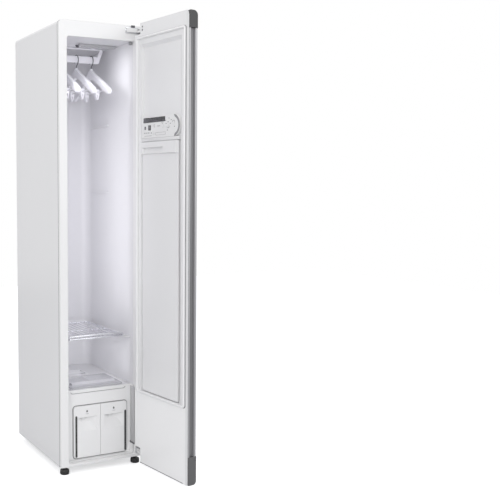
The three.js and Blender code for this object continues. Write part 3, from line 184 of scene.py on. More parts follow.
rough_swing = add_sum(skin, "MULTIPLY_ADD", 0.06)
rough_base = add_sum(skin, "SUBTRACT", 0.03)
facing_up = add_sum(skin, "MAXIMUM", 0)
settled = add_sum(skin, "MULTIPLY")
patchy = add_sum(skin, "MULTIPLY")
link_all(skin, (
    (place, "Object", broad, "Vector"),
    (place, "Object", fine, "Vector"),
    (place, "Object", streak, "Vector"),
    (enter, "Grain size", fine, "Scale"),
    (broad, "Fac", centred, 0),
    (centred, 0, swing, 0),
    (enter, "Mottle", swing, 1),
    (swing, 0, bright, 0),
    (bright, 0, tint, "Value"),
    (enter, "Colour", tint, "Color"),
    (streak, "Fac", rough_swing, 0),
    (enter, "Roughness", rough_base, 0),
    (rough_base, 0, rough_swing, 2),
    (enter, "Edge round", rounded, "Radius"),
    (rounded, "Normal", bump, "Normal"),
    (fine, "Fac", bump, "Height"),
    (enter, "Grain depth", bump, "Strength"),
    (up, "Normal", split, 0),
    (split, "Z", facing_up, 0),
    (facing_up, 0, settled, 0),
    (enter, "Dust", settled, 1),
    (settled, 0, patchy, 0),
    (streak, "Fac", patchy, 1),
    (patchy, 0, dust_mix, "Factor"),
    (tint, "Color", dust_mix, "A"),
    (dust_mix, "Result", leave, "Colour"),
    (rough_swing, 0, leave, "Roughness"),
    (bump, "Normal", leave, "Normal"),
))


def surface(
    name, colour, rough, metal=0.0, mottle=0.02, size=400.0, depth=0.08, edge=0.0008, dust=0.0, **sockets
):
    """A finish: mottled colour, fine grain, soft edges and dust, and the shader's own sockets."""
    material = bpy.data.materials.new(name)
    material.use_nodes = True
    material.diffuse_color = (*colour, 1)
    net = material.node_tree
    shader = net.nodes["Principled BSDF"]
    life = add_node(net, "Group")
    life.node_tree = skin
    for label, value in (
        ("Colour", (*colour, 1)), ("Roughness", rough), ("Mottle", mottle), ("Grain size", size),
        ("Grain depth", depth), ("Edge round", edge), ("Dust", dust),
    ):
        life.inputs[label].default_value = value
    link_all(net, (
        (life, "Colour", shader, "Base Color"),
        (life, "Roughness", shader, "Roughness"),
        (life, "Normal", shader, "Normal"),
    ))
    shader.inputs["Metallic"].default_value = metal
    for label, value in sockets.items():
        shader.inputs[label.replace("_", " ")].default_value = value
    return material


def spot(x, y, z):
    """A place in millimetres from the middle of the frame's face on the floor, as a vector in metres."""
    return Vector((x / 1000, y / 1000, z / 1000)) + shell_origin


def take_up(piece):
    bpy.ops.object.select_all(action="DESELECT")
    piece.select_set(True)
    bpy.context.view_layer.objects.active = piece


def set_out(name, shape):
    """A new object for a mesh or curve, selected alone."""
    piece = bpy.data.objects.new(name, shape)
    bpy.context.collection.objects.link(piece)
    take_up(piece)
    return piece


def finish_piece(piece, material, body, angle=35):
    take_up(piece)
    bpy.ops.object.transform_apply()
    bpy.ops.object.shade_smooth_by_angle(angle=math.radians(angle))
    piece.data.materials.clear()
    piece.data.materials.append(material)
    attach(piece, body)
    return piece


def stand_on(piece, place, facing, up=(0, 0, 1)):
    """Turns a piece made flat on the ground so that its top looks along facing, and moves it to its place."""
    normal = Vector(facing).normalized()
    high = Vector(up).normalized()
    across = high.cross(normal)
    turn = Matrix((across, high, normal)).transposed().to_4x4()
    piece.matrix_world = Matrix.Translation(place) @ turn


def carve(piece, tool, operation="DIFFERENCE", tool_overlaps=True):
    cut = piece.modifiers.new("cut", "BOOLEAN")
    cut.operation = operation
    cut.solver = "EXACT"
    cut.use_self = tool_overlaps
    cut.object = tool
    take_up(piece)
    bpy.ops.object.modifier_apply(modifier="cut")
    bpy.data.objects.remove(tool)


def joined(name, parts):
    bpy.ops.object.select_all(action="DESELECT")
    for part in parts:
        part.select_set(True)
    bpy.context.view_layer.objects.active = parts[0]
    bpy.ops.object.transform_apply()
    bpy.ops.object.join()
    whole = bpy.context.object
    whole.name = name
    return whole


def flat_shape(name, points, thick, soft=0.0, bends=0, sharp=()):
    """A filled outline of points in millimetres, with its thickness on both sides of the ground. Its rim is
    rounded by soft metres. With bends, the line curves through the points, apart from those in sharp."""
    drawing = bpy.data.curves.new(name, "CURVE")
    drawing.dimensions = "2D"
    drawing.fill_mode = "BOTH"
    drawing.extrude = thick / 2000 - soft
    drawing.bevel_depth = soft
    drawing.offset = -soft
    run = drawing.splines.new("BEZIER" if bends else "POLY")
    run.use_cyclic_u = True
    knots = run.bezier_points if bends else run.points
    knots.add(len(points) - 1)
    for number, (knot, (u, v)) in enumerate(zip(knots, points)):
        if bends:
            knot.co = (u / 1000, v / 1000, 0)
            knot.handle_left_type = knot.handle_right_type = "VECTOR" if number in sharp else "AUTO"
        else:
            knot.co = (u / 1000, v / 1000, 0, 1)
    if bends:
        drawing.resolution_u = bends
        drawing.bevel_resolution = 3
    set_out(name, drawing)
    bpy.ops.object.convert(target="MESH")
    return bpy.context.object


def corner(cx, cy, radius, start, steps=8):
    turns = [math.radians(start + 90 * n / steps) for n in range(steps + 1)]
    return [(cx + radius * math.cos(a), cy + radius * math.sin(a)) for a in turns]


def rounded_copy(node, name, outline):
    """A merged copy of a solid, kept only inside an upright outline that runs front to back."""
    source = bpy.data.objects[node]
    twin = set_out(name, source.data.copy())
    twin.matrix_world = source.matrix_world.copy()
    bpy.ops.object.transform_apply()
    bpy.ops.object.mode_set(mode="EDIT")
    bpy.ops.mesh.select_all(action="SELECT")
    bpy.ops.mesh.remove_doubles(threshold=0.00001)
    bpy.ops.object.mode_set(mode="OBJECT")
    limit = flat_shape("limit", outline, 700)
    stand_on(limit, spot(0, cabinet_depth / 2, 0), (0, -1, 0))
    carve(twin, limit, "INTERSECT", tool_overlaps=False)
    return twin


frame_low, frame_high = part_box("front_frame")
shell_origin = Vector(((frame_low.x + frame_high.x) / 2, frame_low.y, 0))
side_paint = surface(
    "baked_side_paint", (0.82, 0.82, 0.825), 0.36, mottle=0.014, size=260, depth=0.02, edge=0.0015, dust=0.03,
    Coat_Weight=0.25, Coat_Roughness=0.18,
)
half_width, cabinet_height, cabinet_depth = 186, 1850, 540
shell_round, sheet, below_floor = 18, 0.8, -20
side_low, side_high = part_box("left_side_panel")
fold_front, fold_back = (side_low.y - frame_low.y) * 1000, (side_high.y - frame_low.y) * 1000
round_x, round_z = half_width - shell_round, cabinet_height - shell_round
shell_outline = [(-half_width, below_floor), (half_width, below_floor)]
shell_outline += corner(round_x, round_z, shell_round, 0) + corner(-round_x, round_z, shell_round, 90)
for node, name, hand in (
    ("left_side_panel", "left_shell", -1), ("right_side_panel", "right_shell", 1),
    ("top_panel", "top_shell", 0), ("back_panel", "back_shell", 0),
):
    shell = rounded_copy(node, name, shell_outline)
    if hand:
        start = 90 if hand < 0 else 0
        outer = corner(hand * round_x, round_z, shell_round, start, 16)
        inner = corner(hand * round_x, round_z, shell_round - sheet, start, 16)
        fold = flat_shape("fold", outer + inner[::-1], fold_back - fold_front - 1)
        stand_on(fold, spot(0, (fold_front + fold_back) / 2, 0), (0, -1, 0))
        shell = joined(name, [shell, fold])
    finish_piece(shell, side_paint, "cabinet", 7)
    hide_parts(node)

# ---- Frame joint seal: a thin dark rubber cord in the joint between the front frame and the folded
# shell. It runs up one side, over the top and down the other, and is held by the fold.


def bent_wire(name, points, radius, closed=False, smooth=False, sides=3):
    line = bpy.data.curves.new(name, "CURVE")
    line.dimensions = "3D"
    line.bevel_depth = radius
    line.bevel_resolution = sides
    line.use_fill_caps = True
    line.resolution_u = 6
    run = line.splines.new("BEZIER" if smooth else "POLY")
    knots = run.bezier_points if smooth else run.points
    knots.add(len(points) - 1)
    for knot, point in zip(knots, points):
        if smooth:
            knot.co = point
            knot.handle_left_type = knot.handle_right_type = "AUTO"
        else:
            knot.co = (*point, 1)
    run.use_cyclic_u = closed
    set_out(name, line)
    bpy.ops.object.convert(target="MESH")
    return bpy.context.object


joint_grey = surface("grey_joint_seal", (0.16, 0.16, 0.165), 0.6, mottle=0.03, size=300, depth=0.03)
joint_inset, joint_y, joint_foot = 0.5, 16.4, 36
joint_x, joint_z = round_x - joint_inset, round_z - joint_inset
joint_line = [(joint_inset - half_width, joint_foot)] + corner(-joint_x, joint_z, shell_round, 90)[::-1]
joint_line += corner(joint_x, joint_z, shell_round, 0)[::-1] + [(half_width - joint_inset, joint_foot)]
joint_spots = [spot(x, joint_y, z) for x, z in joint_line]
joint = bent_wire("frame_joint_seal", joint_spots, 0.0014, sides=2)
finish_piece(joint, joint_grey, "cabinet", 60)

# ---- Back panel screws: pan-head screws, zinc plated, in a column down each edge and across the
# top, each with a crossed recess.


def rounded_plate(name, width, height, radius, thick, edge=0.0003, steps=6):
    """A plate with round corners that lies on the ground, in metres. Its rims are rounded by edge."""
    bpy.ops.mesh.primitive_plane_add(size=1)
    piece = bpy.context.object
    piece.name = name
    piece.scale = (width, height, 1)
    bpy.ops.object.transform_apply()
    bpy.ops.object.mode_set(mode="EDIT")
    bpy.ops.mesh.select_all(action="SELECT")
    bpy.ops.mesh.bevel(offset=radius, segments=steps, affect="VERTICES")
    bpy.ops.mesh.select_all(action="SELECT")
    bpy.ops.mesh.extrude_region_move(TRANSFORM_OT_translate={"value": (0, 0, thick)})
    bpy.ops.mesh.select_all(action="SELECT")
    bpy.ops.mesh.normals_make_consistent(inside=False)
    bpy.ops.object.mode_set(mode="OBJECT")
    if edge:
        soft = piece.modifiers.new("soft_edge", "BEVEL")
        soft.width = edge
        soft.segments = 2
        soft.limit_method = "ANGLE"
        soft.angle_limit = math.radians(60)
        bpy.ops.object.modifier_apply(modifier="soft_edge")
    return piece


def turned_piece(name, profile, steps=32):
    """A body turned about its own upright axis, from pairs of radius and height in metres."""
    mesh = bpy.data.meshes.new(name)
    edges = [(i, i + 1) for i in range(len(profile) - 1)]
    mesh.from_pydata([(radius, 0, height) for radius, height in profile], edges, [])
    piece = set_out(name, mesh)
    bpy.ops.object.mode_set(mode="EDIT")
    bpy.ops.mesh.select_all(action="SELECT")
    bpy.ops.mesh.spin(steps=steps, angle=math.tau, center=(0, 0, 0), axis=(0, 0, 1))
    bpy.ops.mesh.select_all(action="SELECT")
    bpy.ops.mesh.remove_doubles(threshold=0.00001)
    bpy.ops.mesh.normals_make_consistent(inside=False)
    bpy.ops.object.mode_set(mode="OBJECT")
    return piece


def pan_head(radius, height):
    dome = [(0, 1), (0.45, 0.95), (0.8, 0.7), (1, 0.25), (1, 0), (0, 0)]
    head = turned_piece("head", [(r * radius, h * height) for r, h in dome], 20)
    bars = []
    for angle in (0, math.pi / 2):
        bar = rounded_plate("slot", radius, radius * 0.22, radius * 0.05, height, edge=0, steps=1)
        bar.location.z = height * 0.55
        bar.rotation_euler.z = angle
        bars.append(bar)
    carve(head, joined("cross", bars))
    return head


def copy_to(piece, place, facing):
    twin = set_out(piece.name, piece.data.copy())
    stand_on(twin, place, facing)
    return twin


zinc = surface("zinc_screw", (0.6, 0.6, 0.6), 0.3, metal=1.0, mottle=0.05, size=900, depth=0.05, edge=0.0003)
head = pan_head(0.0042, 0.0022)
column_x, top_row_z = 177, 1838
back_spots = [(side * column_x, z) for side in (-1, 1) for z in (60, 380, 700, 1020, 1340, 1660)]
back_spots += [(x, top_row_z) for x in (-120, 0, 120)]
heads = [copy_to(head, spot(x, cabinet_depth, z), (0, 1, 0)) for x, z in back_spots]
finish_piece(joined("back_panel_screws", heads), zinc, "cabinet")
bpy.data.objects.remove(head)

# ---- Front frame: a white injection-moulded ring that closes the front of the cabinet, glossy,
# with softly rounded edges where the tool parts.


def dress(material, *names):
    for name in names:
        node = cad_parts[name]
        node.data.materials.clear()
        node.data.materials.append(material)


frame_plastic = surface(
    "white_frame_plastic", (0.87, 0.87, 0.87), 0.3, mottle=0.008, size=240, depth=0.008, edge=0.0025,
    Coat_Weight=0.35, Coat_Roughness=0.1,
)
dress(frame_plastic, "front_frame")

# ---- Chamber: vacuum-formed plastic walls, ceiling and floor, satin and cool white, with the
# ledges for a shelf at three heights and wide curves at the rear corners.
liner_plastic = surface(
    "cool_liner_plastic", (0.79, 0.788, 0.808), 0.34, mottle=0.01, size=240, depth=0.01, edge=0.002,
    Coat_Weight=0.2, Coat_Roughness=0.2,
)
dress(liner_plastic, "chamber_left_wall", "chamber_right_wall", "chamber_back_wall")
dress(liner_plastic, "chamber_ceiling", "chamber_floor")

# ---- Chamber lamp: a frosted acrylic lens over a strip of small lights, clipped into the left wall
# near the top. It lights the hangers and the opposite wall with a cool white. The lamps after it stand
# for the light that the chamber's white walls send on, and none of them is seen itself.
wall_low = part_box("chamber_left_wall")[0]
wall_x = wall_low.x + 0.003
lamp_low, lamp_high = 1.52, 1.7
lamp_y = wall_low.y + 0.05
bpy.ops.mesh.primitive_cube_add(size=1, location=(wall_x + 0.0016, lamp_y, (lamp_low + lamp_high) / 2))
lens = bpy.context.object
lens.name = "chamber_lamp_lens"
lens.scale = (0.003, 0.026, lamp_high - lamp_low)
bpy.ops.object.transform_apply()
bevel = lens.modifiers.new("rounded", "BEVEL")
bevel.width = 0.0012
bevel.segments = 3
bpy.ops.object.modifier_apply(modifier="rounded")
lens_plastic = surface(
    "frosted_lamp_lens", (0.95, 0.95, 1), 0.4, mottle=0.01, size=900, depth=0.05,
    Emission_Color=(0.92, 0.91, 1, 1), Emission_Strength=1.5,
)
finish_piece(lens, lens_plastic, "cabinet", 40)
middle_x, mouth_y = shell_origin.x, wall_low.y + 0.015
for name, place, target, width, height, watts, colour, spread in (
    (
        "chamber_glow", (wall_x + 0.006, lamp_y, 1.66), (wall_x + 0.3, lamp_y + 0.035, 1.655),
        0.03, 0.12, 0.045, (0.98, 0.98, 1), 60,
    ),
    (
        "chamber_fill", (wall_x + 0.012, wall_low.y + 0.03, 1.05), (wall_x + 0.3, wall_low.y + 0.13, 1.05),
        0.03, 0.8, 0.25, (0.98, 0.975, 1), 120,
    ),
    (
        "chamber_soft", (middle_x, mouth_y, 1.2), (middle_x, wall_low.y + 1, 1.2),
        0.28, 1.1, 0.6, (0.945, 0.93, 1), 130,
    ),
    (
        "chamber_under", (middle_x, mouth_y, 0.45), (middle_x, wall_low.y + 1, 0.45),
        0.28, 0.16, 0.2, (0.97, 0.965, 1), 110,
    ),
):
    studio_lamp(name, place, target, width, height, watts, colour, spread).visible_camera = False

# ---- Ceiling vent strip: a grey moulded strip with twelve slots that draws air over the clothes,
# pushed up into its cut in the chamber's ceiling.
ceiling_z = 1790
vent_slot_count, vent_pitch = 12, 0.013
vent_plastic = surface("grey_vent_plastic", (0.44, 0.44, 0.45), 0.5, mottle=0.03, size=400, depth=0.05)
vent = rounded_plate("slotted_vent", 0.168, 0.0148, 0.0028, 0.0115, edge=0.0012)
vent_slots = []
for number in range(vent_slot_count):
    slot_tool = rounded_plate("slot", 0.005, 0.0086, 0.002, 0.012, edge=0)
    slot_tool.location = ((number - (vent_slot_count - 1) / 2) * vent_pitch, 0, 0.004)
    vent_slots.append(slot_tool)
carve(vent, joined("vent_slots", vent_slots))
stand_on(vent, spot(53.5, 165.5, ceiling_z), (0, 0, -1), up=(0, 1, 0))
finish_piece(vent, vent_plastic, "cabinet")
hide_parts("ceiling_vent")

# ---- Humidity sensor: a small dark domed cap with a thin flange, moulded in plastic and clipped into
# the ceiling beside the vent strip.
sensor_profile = [
    (0, 0.0095), (0.004, 0.009), (0.0068, 0.0068), (0.008, 0.003), (0.0095, 0.0018), (0.0105, 0.0004),
    (0.0105, 0), (0, 0),
]
sensor = turned_piece("humidity_sensor", sensor_profile, 32)
stand_on(sensor, spot(-17, 213, ceiling_z), (0, 0, -1), up=(0, 1, 0))
sensor_plastic = surface("dark_sensor_plastic", (0.1, 0.1, 0.11), 0.45, mottle=0.05, size=500, depth=0.08)
finish_piece(sensor, sensor_plastic, "cabinet")

# ---- Door switch: a small grey housing screwed under the ceiling by the hinge side, with the
# plunger that the closed door pushes in.
switch_x = 144.5
switch_grey = surface("grey_switch_plastic", (0.4, 0.4, 0.41), 0.5, mottle=0.03, size=400, depth=0.06)
housing = rounded_plate("housing", 0.0115, 0.014, 0.002, 0.014, edge=0.001)
stand_on(housing, spot(switch_x, 28, ceiling_z), (0, 0, -1), up=(0, 1, 0))
plunger = turned_piece("plunger", [(0, 0.006), (0.0022, 0.0055), (0.0028, 0.0045), (0.0028, 0), (0, 0)], 20)
stand_on(plunger, spot(switch_x, 21.2, ceiling_z - 8), (0, -1, 0))
finish_piece(joined("door_switch", [housing, plunger]), switch_grey, "cabinet")

# ---- Floor: a clear frosted grille with a raised ridge, over the heat duct, and the lint filter
# tray in its seat behind it.
grille_plastic = surface(
    "frosted_grille_plastic", (0.86, 0.86, 0.9), 0.22, mottle=0.02, size=300, depth=0.02, edge=0.001,
    Transmission_Weight=0.45, IOR=1.49,
)
dress(grille_plastic, "floor_grille")
filter_plastic = surface("white_filter_plastic", (0.84, 0.84, 0.86), 0.4, mottle=0.015, size=300, depth=0.03)
dress(filter_plastic, "lint_filter")

# ---- Shelf: bent and welded steel wire, plated bright. A closed rim carries the slats and one cross
# wire, and a raised rail at the front keeps things from sliding off. It lies on ledges of the walls.
bright_wire = surface(
    "bright_plated_wire", (0.78, 0.78, 0.82), 0.16, metal=1.0, mottle=0.03, size=600, depth=0.04, edge=0.0006,
)
shelf_half, shelf_front, shelf_back, shelf_z, shelf_turn, slat_count = 127.5, 62, 448, 549, 18, 11


def rounded_loop(x0, x1, y0, y1, radius, steps=6):
    loop = corner(x1 - radius, y0 + radius, radius, -90, steps)
    loop += corner(x1 - radius, y1 - radius, radius, 0, steps)
    loop += corner(x0 + radius, y1 - radius, radius, 90, steps)
    return loop + corner(x0 + radius, y0 + radius, radius, 180, steps)


rim = rounded_loop(-shelf_half, shelf_half, shelf_front, shelf_back, shelf_turn)
wires = [bent_wire("rim", [spot(x, y, shelf_z) for x, y in rim], 0.004, closed=True, sides=4)]
for n in range(slat_count):
    x = shelf_turn - shelf_half + n * 2 * (shelf_half - shelf_turn) / (slat_count - 1)
    ends = [spot(x, shelf_front, shelf_z), spot(x, shelf_back, shelf_z)]
    wires.append(bent_wire("slat", ends, 0.0027))
middle_y, cross_z = (shelf_front + shelf_back) / 2, shelf_z - 1.1
ends = [spot(-shelf_half, middle_y, cross_z), spot(shelf_half, middle_y, cross_z)]
wires.append(bent_wire("cross", ends, 0.0021))
rail = [(x - shelf_half, y, z) for x, y, z in ((1, 18, 0), (3, 6, 5), (9, 1, 9.5), (19, 0, 11))]
rail += [(-x, y, z) for x, y, z in reversed(rail)]
rail_spots = [spot(x, shelf_front + y, shelf_z + z) for x, y, z in rail]
wires.append(bent_wire("rail", rail_spots, 0.0048, smooth=True, sides=5))
shelf = finish_piece(joined("plated_shelf", wires), bright_wire, "shelf", 50)
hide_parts("wire_shelf")

# ---- Moving bar and hangers: three hangers moulded in white plastic, each with two arms, a collar at
# its neck and a rod for its clips, hang from the white bar on bent steel hooks, dark from plating.
# The hook's straight end is pushed into the collar.
hanger_plastic = surface(
    "white_hanger_plastic", (0.9, 0.895, 0.93), 0.3, mottle=0.008, size=300, depth=0.012, edge=0.0012,
    Coat_Weight=0.3, Coat_Roughness=0.15,
)
dress(hanger_plastic, "hanger_bar")
dress(hanger_plastic, *(f"hanger_{n}_clip_{end}" for n in (1, 2, 3) for end in ("front", "rear")))
hook_wire = surface(
    "dark_hook_wire", (0.16, 0.16, 0.17), 0.3, metal=0.8, mottle=0.04, size=500, depth=0.02, edge=0.0002,
)
bar_y, neck_z, arm_reach, arm_drop, rod_z, rod_half = 268, 1687, 200, 112, 1594, 152
arm = [
    (0, 0.071), (0.06, 0.045), (0.17, -0.071), (0.4, -0.268), (0.65, -0.482), (0.88, -0.696), (0.965, -0.786),
    (1, -0.866), (0.985, -0.964), (0.93, -1), (0.8, -0.929), (0.6, -0.75), (0.4, -0.554), (0.2, -0.384),
    (0.07, -0.304), (0, -0.286),
]
arms_outline = [(u * arm_reach, v * arm_drop) for u, v in arm]
arms_outline += [(-u, v) for u, v in reversed(arms_outline[1:-1])]
collar_profile = [(0.0023, 0), (0.0072, 0), (0.0072, 0.0105), (0.0062, 0.0132), (0.0045, 0.0142)]
collar_profile += [(0.0023, 0.0142), (0.0023, 0)]
hook_z, hook_radius = 1734.6, 22
hook_turns = [math.radians(205 - 15 * step) for step in range(18)]
hook_line = [(-hook_radius * math.cos(a), hook_radius * math.sin(a)) for a in hook_turns]
last_y, last_z = hook_line[-1]
hook_line += [(last_y * 0.5, last_z - 4.84), (last_y * 0.12, last_z - 9.9), (0, last_z - 14.52)]
hook_line += [(0, neck_z - 6.7 - hook_z)]
for number, x in ((1, -70), (2, 0), (3, 70)):
    arms = flat_shape("arms", arms_outline, 15, 0.003, bends=5)
    stand_on(arms, spot(x, bar_y, neck_z), (1, 0, 0))
    ends = [spot(x, bar_y - rod_half, rod_z), spot(x, bar_y + rod_half, rod_z)]
    rod = bent_wire("rod", ends, 0.0025, sides=4)
    collar = turned_piece("collar", collar_profile, 28)
    collar.location = spot(x, bar_y, neck_z)
    hanger = joined(f"moulded_hanger_{number}", [arms, rod, collar])
    finish_piece(hanger, hanger_plastic, f"coat_hanger_{number}", 40)
    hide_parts(f"hanger_{number}")
    hook_spots = [spot(x, bar_y + dy, hook_z + dz) for dy, dz in hook_line]
    hook = bent_wire(f"bent_hook_{number}", hook_spots, 0.002, smooth=True, sides=4)
    finish_piece(hook, hook_wire, f"coat_hanger_{number}", 50)
    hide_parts(f"hanger_hook_{number}")

# ---- Tank bay and tank fronts: a glossy white moulded face around two pull-out tanks. Each front has
# a scooped grip under a header, and its outer corners are rounded with the bay's.
bay_plastic = surface(
    "white_bay_plastic", (0.9, 0.9, 0.902), 0.3, mottle=0.008, size=240, depth=0.01, edge=0.0015,
    Coat_Weight=0.3, Coat_Roughness=0.12,
)
dress(bay_plastic, "tank_bay")
tanks_outline = rounded_loop(-115.4, 129.9, 50.9, 271.1, 13)
for tank in ("supply", "drain"):
    face = rounded_copy(f"{tank}_tank_front", f"{tank}_tank_face", tanks_outline)
    finish_piece(face, bay_plastic, f"{tank}_drawer", 8)
    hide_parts(f"{tank}_tank_front")

# ---- Tanks: hollow vessels blown in clear plastic behind the fronts, which slide out with them. Each
# has a filling collar on top.
tank_plastic = surface(
    "clear_tank_plastic", (0.84, 0.86, 0.9), 0.12, mottle=0.01, size=900, depth=0.03,
    Transmission_Weight=0.7, IOR=1.49,
)
for tank in ("supply", "drain"):
    vessel = rounded_copy(f"{tank}_tank", f"{tank}_vessel", tanks_outline)
    finish_piece(vessel, tank_plastic, f"{tank}_drawer", 8)
    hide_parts(f"{tank}_tank")

# ---- Bay seal: a thin dark rubber cord pressed into the bay's face round both tanks, with the bay's
# rounded corners. It closes the gap beside the tank fronts.
bay_face_y = 41.7
# This grey is also the painted shadow line under the chamber floor's front edge.
seal_and_shadow_grey = surface("grey_seal_and_shadow_line", (0.3, 0.3, 0.305), 0.6, mottle=0.03, size=300, depth=0.04, edge=0.0004)
path = [spot(x, bay_face_y, z) for x, z in rounded_loop(-117.6, 132.1, 48.9, 273.1, 14)]
ring = bent_wire("bay_seal", path, 0.0013, closed=True, sides=2)
finish_piece(ring, seal_and_shadow_grey, "cabinet", 60)

# ---- Floor edge shadow: a thin dark cord under the chamber floor's front edge, where the moulded
# floor meets the face of the tank bay, as painted shadow in the gap there. Its ends turn up.
edge_z = 325
edge_path = [(-126, 7), (-124.5, 2.5), (-120, 0.4), (-114, 0), (112, 0), (118, 0.4), (122.5, 2.5), (124, 7)]
edge_spots = [spot(x, bay_face_y, edge_z + z) for x, z in edge_path]
cord = bent_wire("floor_edge_painted_shadow", edge_spots, 0.0011, sides=2)
finish_piece(cord, seal_and_shadow_grey, "cabinet", 60)

# ---- Return trim: a grey strip down the side of the bay beside the door, behind the frame, with a darker
# stop at its foot. The strip's grey is painted shade for the return, which lies in the open door's shadow.


def fit_plate(name, size, place, facing, material, body):
    """A plate finished where it stands. Its size is width, height, corner radius, thickness and edge."""
    plate = rounded_plate(name, *size)
    stand_on(plate, place, facing)
    finish_piece(plate, material, body)


return_x, return_y, return_width = 148.6, 21.3, 0.0385
# The return strip's grey is painted shade for the return beside the open door.
return_shade_grey = surface("painted_return_shade", (0.54, 0.54, 0.55), 0.5, mottle=0.02, size=300, depth=0.03)
for name, material, z, height, thick, edge in (
    ("return_shade_strip", return_shade_grey, 213, 0.242, 0.0009, 0.0003),
    ("return_stop", sensor_plastic, 89, 0.006, 0.0028, 0.0005),
):
    size = (return_width, height, 0.001, thick, edge)
    fit_plate(name, size, spot(return_x, return_y, z), (-1, 0, 0), material, "cabinet")

# ---- Level windows and drop marks: a smoked clear strip down each tank's outer side, snapped in flush,
# and a printed drop over a short line on each header.
smoked = surface(
    "smoked_level_window", (0.035, 0.035, 0.037), 0.12, mottle=0.1, size=200, depth=0.0, edge=0.0004,
    Coat_Weight=0.6, Coat_Roughness=0.05,
)
mark_grey = surface(
    "printed_grey_mark", (0.13, 0.13, 0.135), 0.5, mottle=0.02, size=300, depth=0.02, edge=0.0002,
)
front_y, window_size = 38, (0.0086, 0.176, 0.0042, 0.0012, 0.0004)
drop_outline = [(0, 6), (3.6, -1.4), (0, -5), (-3.6, -1.4)]
for tank, window_x, drop_x in (("supply", -103.3, -54.3), ("drain", 122.8, 68.8)):
    window_spot = spot(window_x, front_y, 142.5)
    fit_plate(f"{tank}_level_window", window_size, window_spot, (0, -1, 0), smoked, f"{tank}_drawer")
    drop = flat_shape("drop", drop_outline, 0.4, bends=12, sharp=(0,))
    stand_on(drop, spot(drop_x, front_y, 246), (0, -1, 0))
    dash = rounded_plate("line", 0.013, 0.0012, 0.0005, 0.0003, edge=0, steps=2)
    stand_on(dash, spot(drop_x, front_y, 235), (0, -1, 0))
    mark = joined(f"{tank}_drop_mark", [drop, dash])
    finish_piece(mark, mark_grey, f"{tank}_drawer")

# ---- Machines behind the tanks and above the ceiling: a black painted compressor and shaker motor, a
# moulded blower, and the heat exchanger and boiler in bare metal, all bolted to the base or ceiling.
machine_paint = surface(
    "black_machine_paint", (0.03, 0.03, 0.033), 0.45, mottle=0.05, size=500, depth=0.15, dust=0.3,
)
dress(machine_paint, "compressor", "shaker_motor")
blower_plastic = surface(
    "black_blower_plastic", (0.035, 0.035, 0.037), 0.55, mottle=0.04, size=600, depth=0.2, dust=0.3,
)
dress(blower_plastic, "blower")
fin_metal = surface("bare_fin_metal", (0.72, 0.72, 0.72), 0.38, metal=1.0, mottle=0.06, size=500, depth=0.1)
dress(fin_metal, "heat_exchanger", "steam_boiler")

# ---- Foam: the insulation round the chamber and the door's core, pale yellow rigid foam that is poured
# in between the plastic and the steel and sets there.
foam = surface("poured_foam", (0.78, 0.7, 0.5), 0.9, mottle=0.08, size=260, depth=0.5)
dress(foam, "insulation", "door_core")

# ---- Base pan: pressed and plated sheet steel that carries the machines and the shell, with the feet
# screwed in from below.
base_steel = surface("plated_base_steel", (0.62, 0.63, 0.65), 0.36, metal=1.0, mottle=0.05, size=500)
dress(base_steel, "base_pan")

# ---- Levelling feet: black moulded knobs with twelve grip ribs on threaded studs. They are turned by
# hand to level the cabinet.
foot_plastic = surface(
    "black_foot_plastic", (0.018, 0.018, 0.019), 0.5, mottle=0.05, size=700, depth=0.2, dust=0.1,
)
foot_profile = [
    (0, 0), (0.0155, 0), (0.0178, 0.0008), (0.019, 0.003), (0.019, 0.0165), (0.0182, 0.019), (0.0155, 0.0203),
    (0.0085, 0.0212), (0.007, 0.023), (0.007, 0.0325), (0.0045, 0.0327), (0.0045, 0.046), (0, 0.046),
]
rib_count, rib_radius, rib_height = 12, 0.0178, 0.0098
foot_rib = rounded_plate("foot_rib", 0.0028, 0.0112, 0.001, 0.0014, edge=0.0003, steps=2)
for end, across, back in (("front", 162, 24), ("rear", 76, 516)):
    for side, hand in (("left", -1), ("right", 1)):
        parts = [turned_piece("knob", foot_profile, 40)]
        for n in range(rib_count):
            angle = n * math.tau / rib_count
            outward = Vector((math.cos(angle), math.sin(angle), 0))
            parts.append(copy_to(foot_rib, outward * rib_radius + Vector((0, 0, rib_height)), outward))
        knob = joined(f"levelling_knob_{end}_{side}", parts)
        knob.location = spot(hand * across, back, 0)
        finish_piece(knob, foot_plastic, f"levelling_foot_{end}_{side}")
        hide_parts(f"foot_{end}_{side}")
bpy.data.objects.remove(foot_rib)

# ---- Hinge brackets and their screws: pressed steel leaves with an arm for the door's pin, plated, each
# held on the frame by two pan-head screws.
bracket_steel = surface(
    "plated_hinge_steel", (0.68, 0.69, 0.71), 0.28, metal=1.0, mottle=0.04, size=600, depth=0.06,
)
dress(bracket_steel, "upper_hinge_bracket", "lower_hinge_bracket")
leaf_y = -3.3
head = pan_head(0.003, 0.002)
for level, spots in (("upper", ((109.4, 1836), (109.4, 1824))), ("lower", ((161, 51), (174, 51)))):
    heads = [copy_to(head, spot(x, leaf_y, z), (0, -1, 0)) for x, z in spots]
    finish_piece(joined(f"{level}_hinge_screws", heads), zinc, "cabinet")
bpy.data.objects.remove(head)

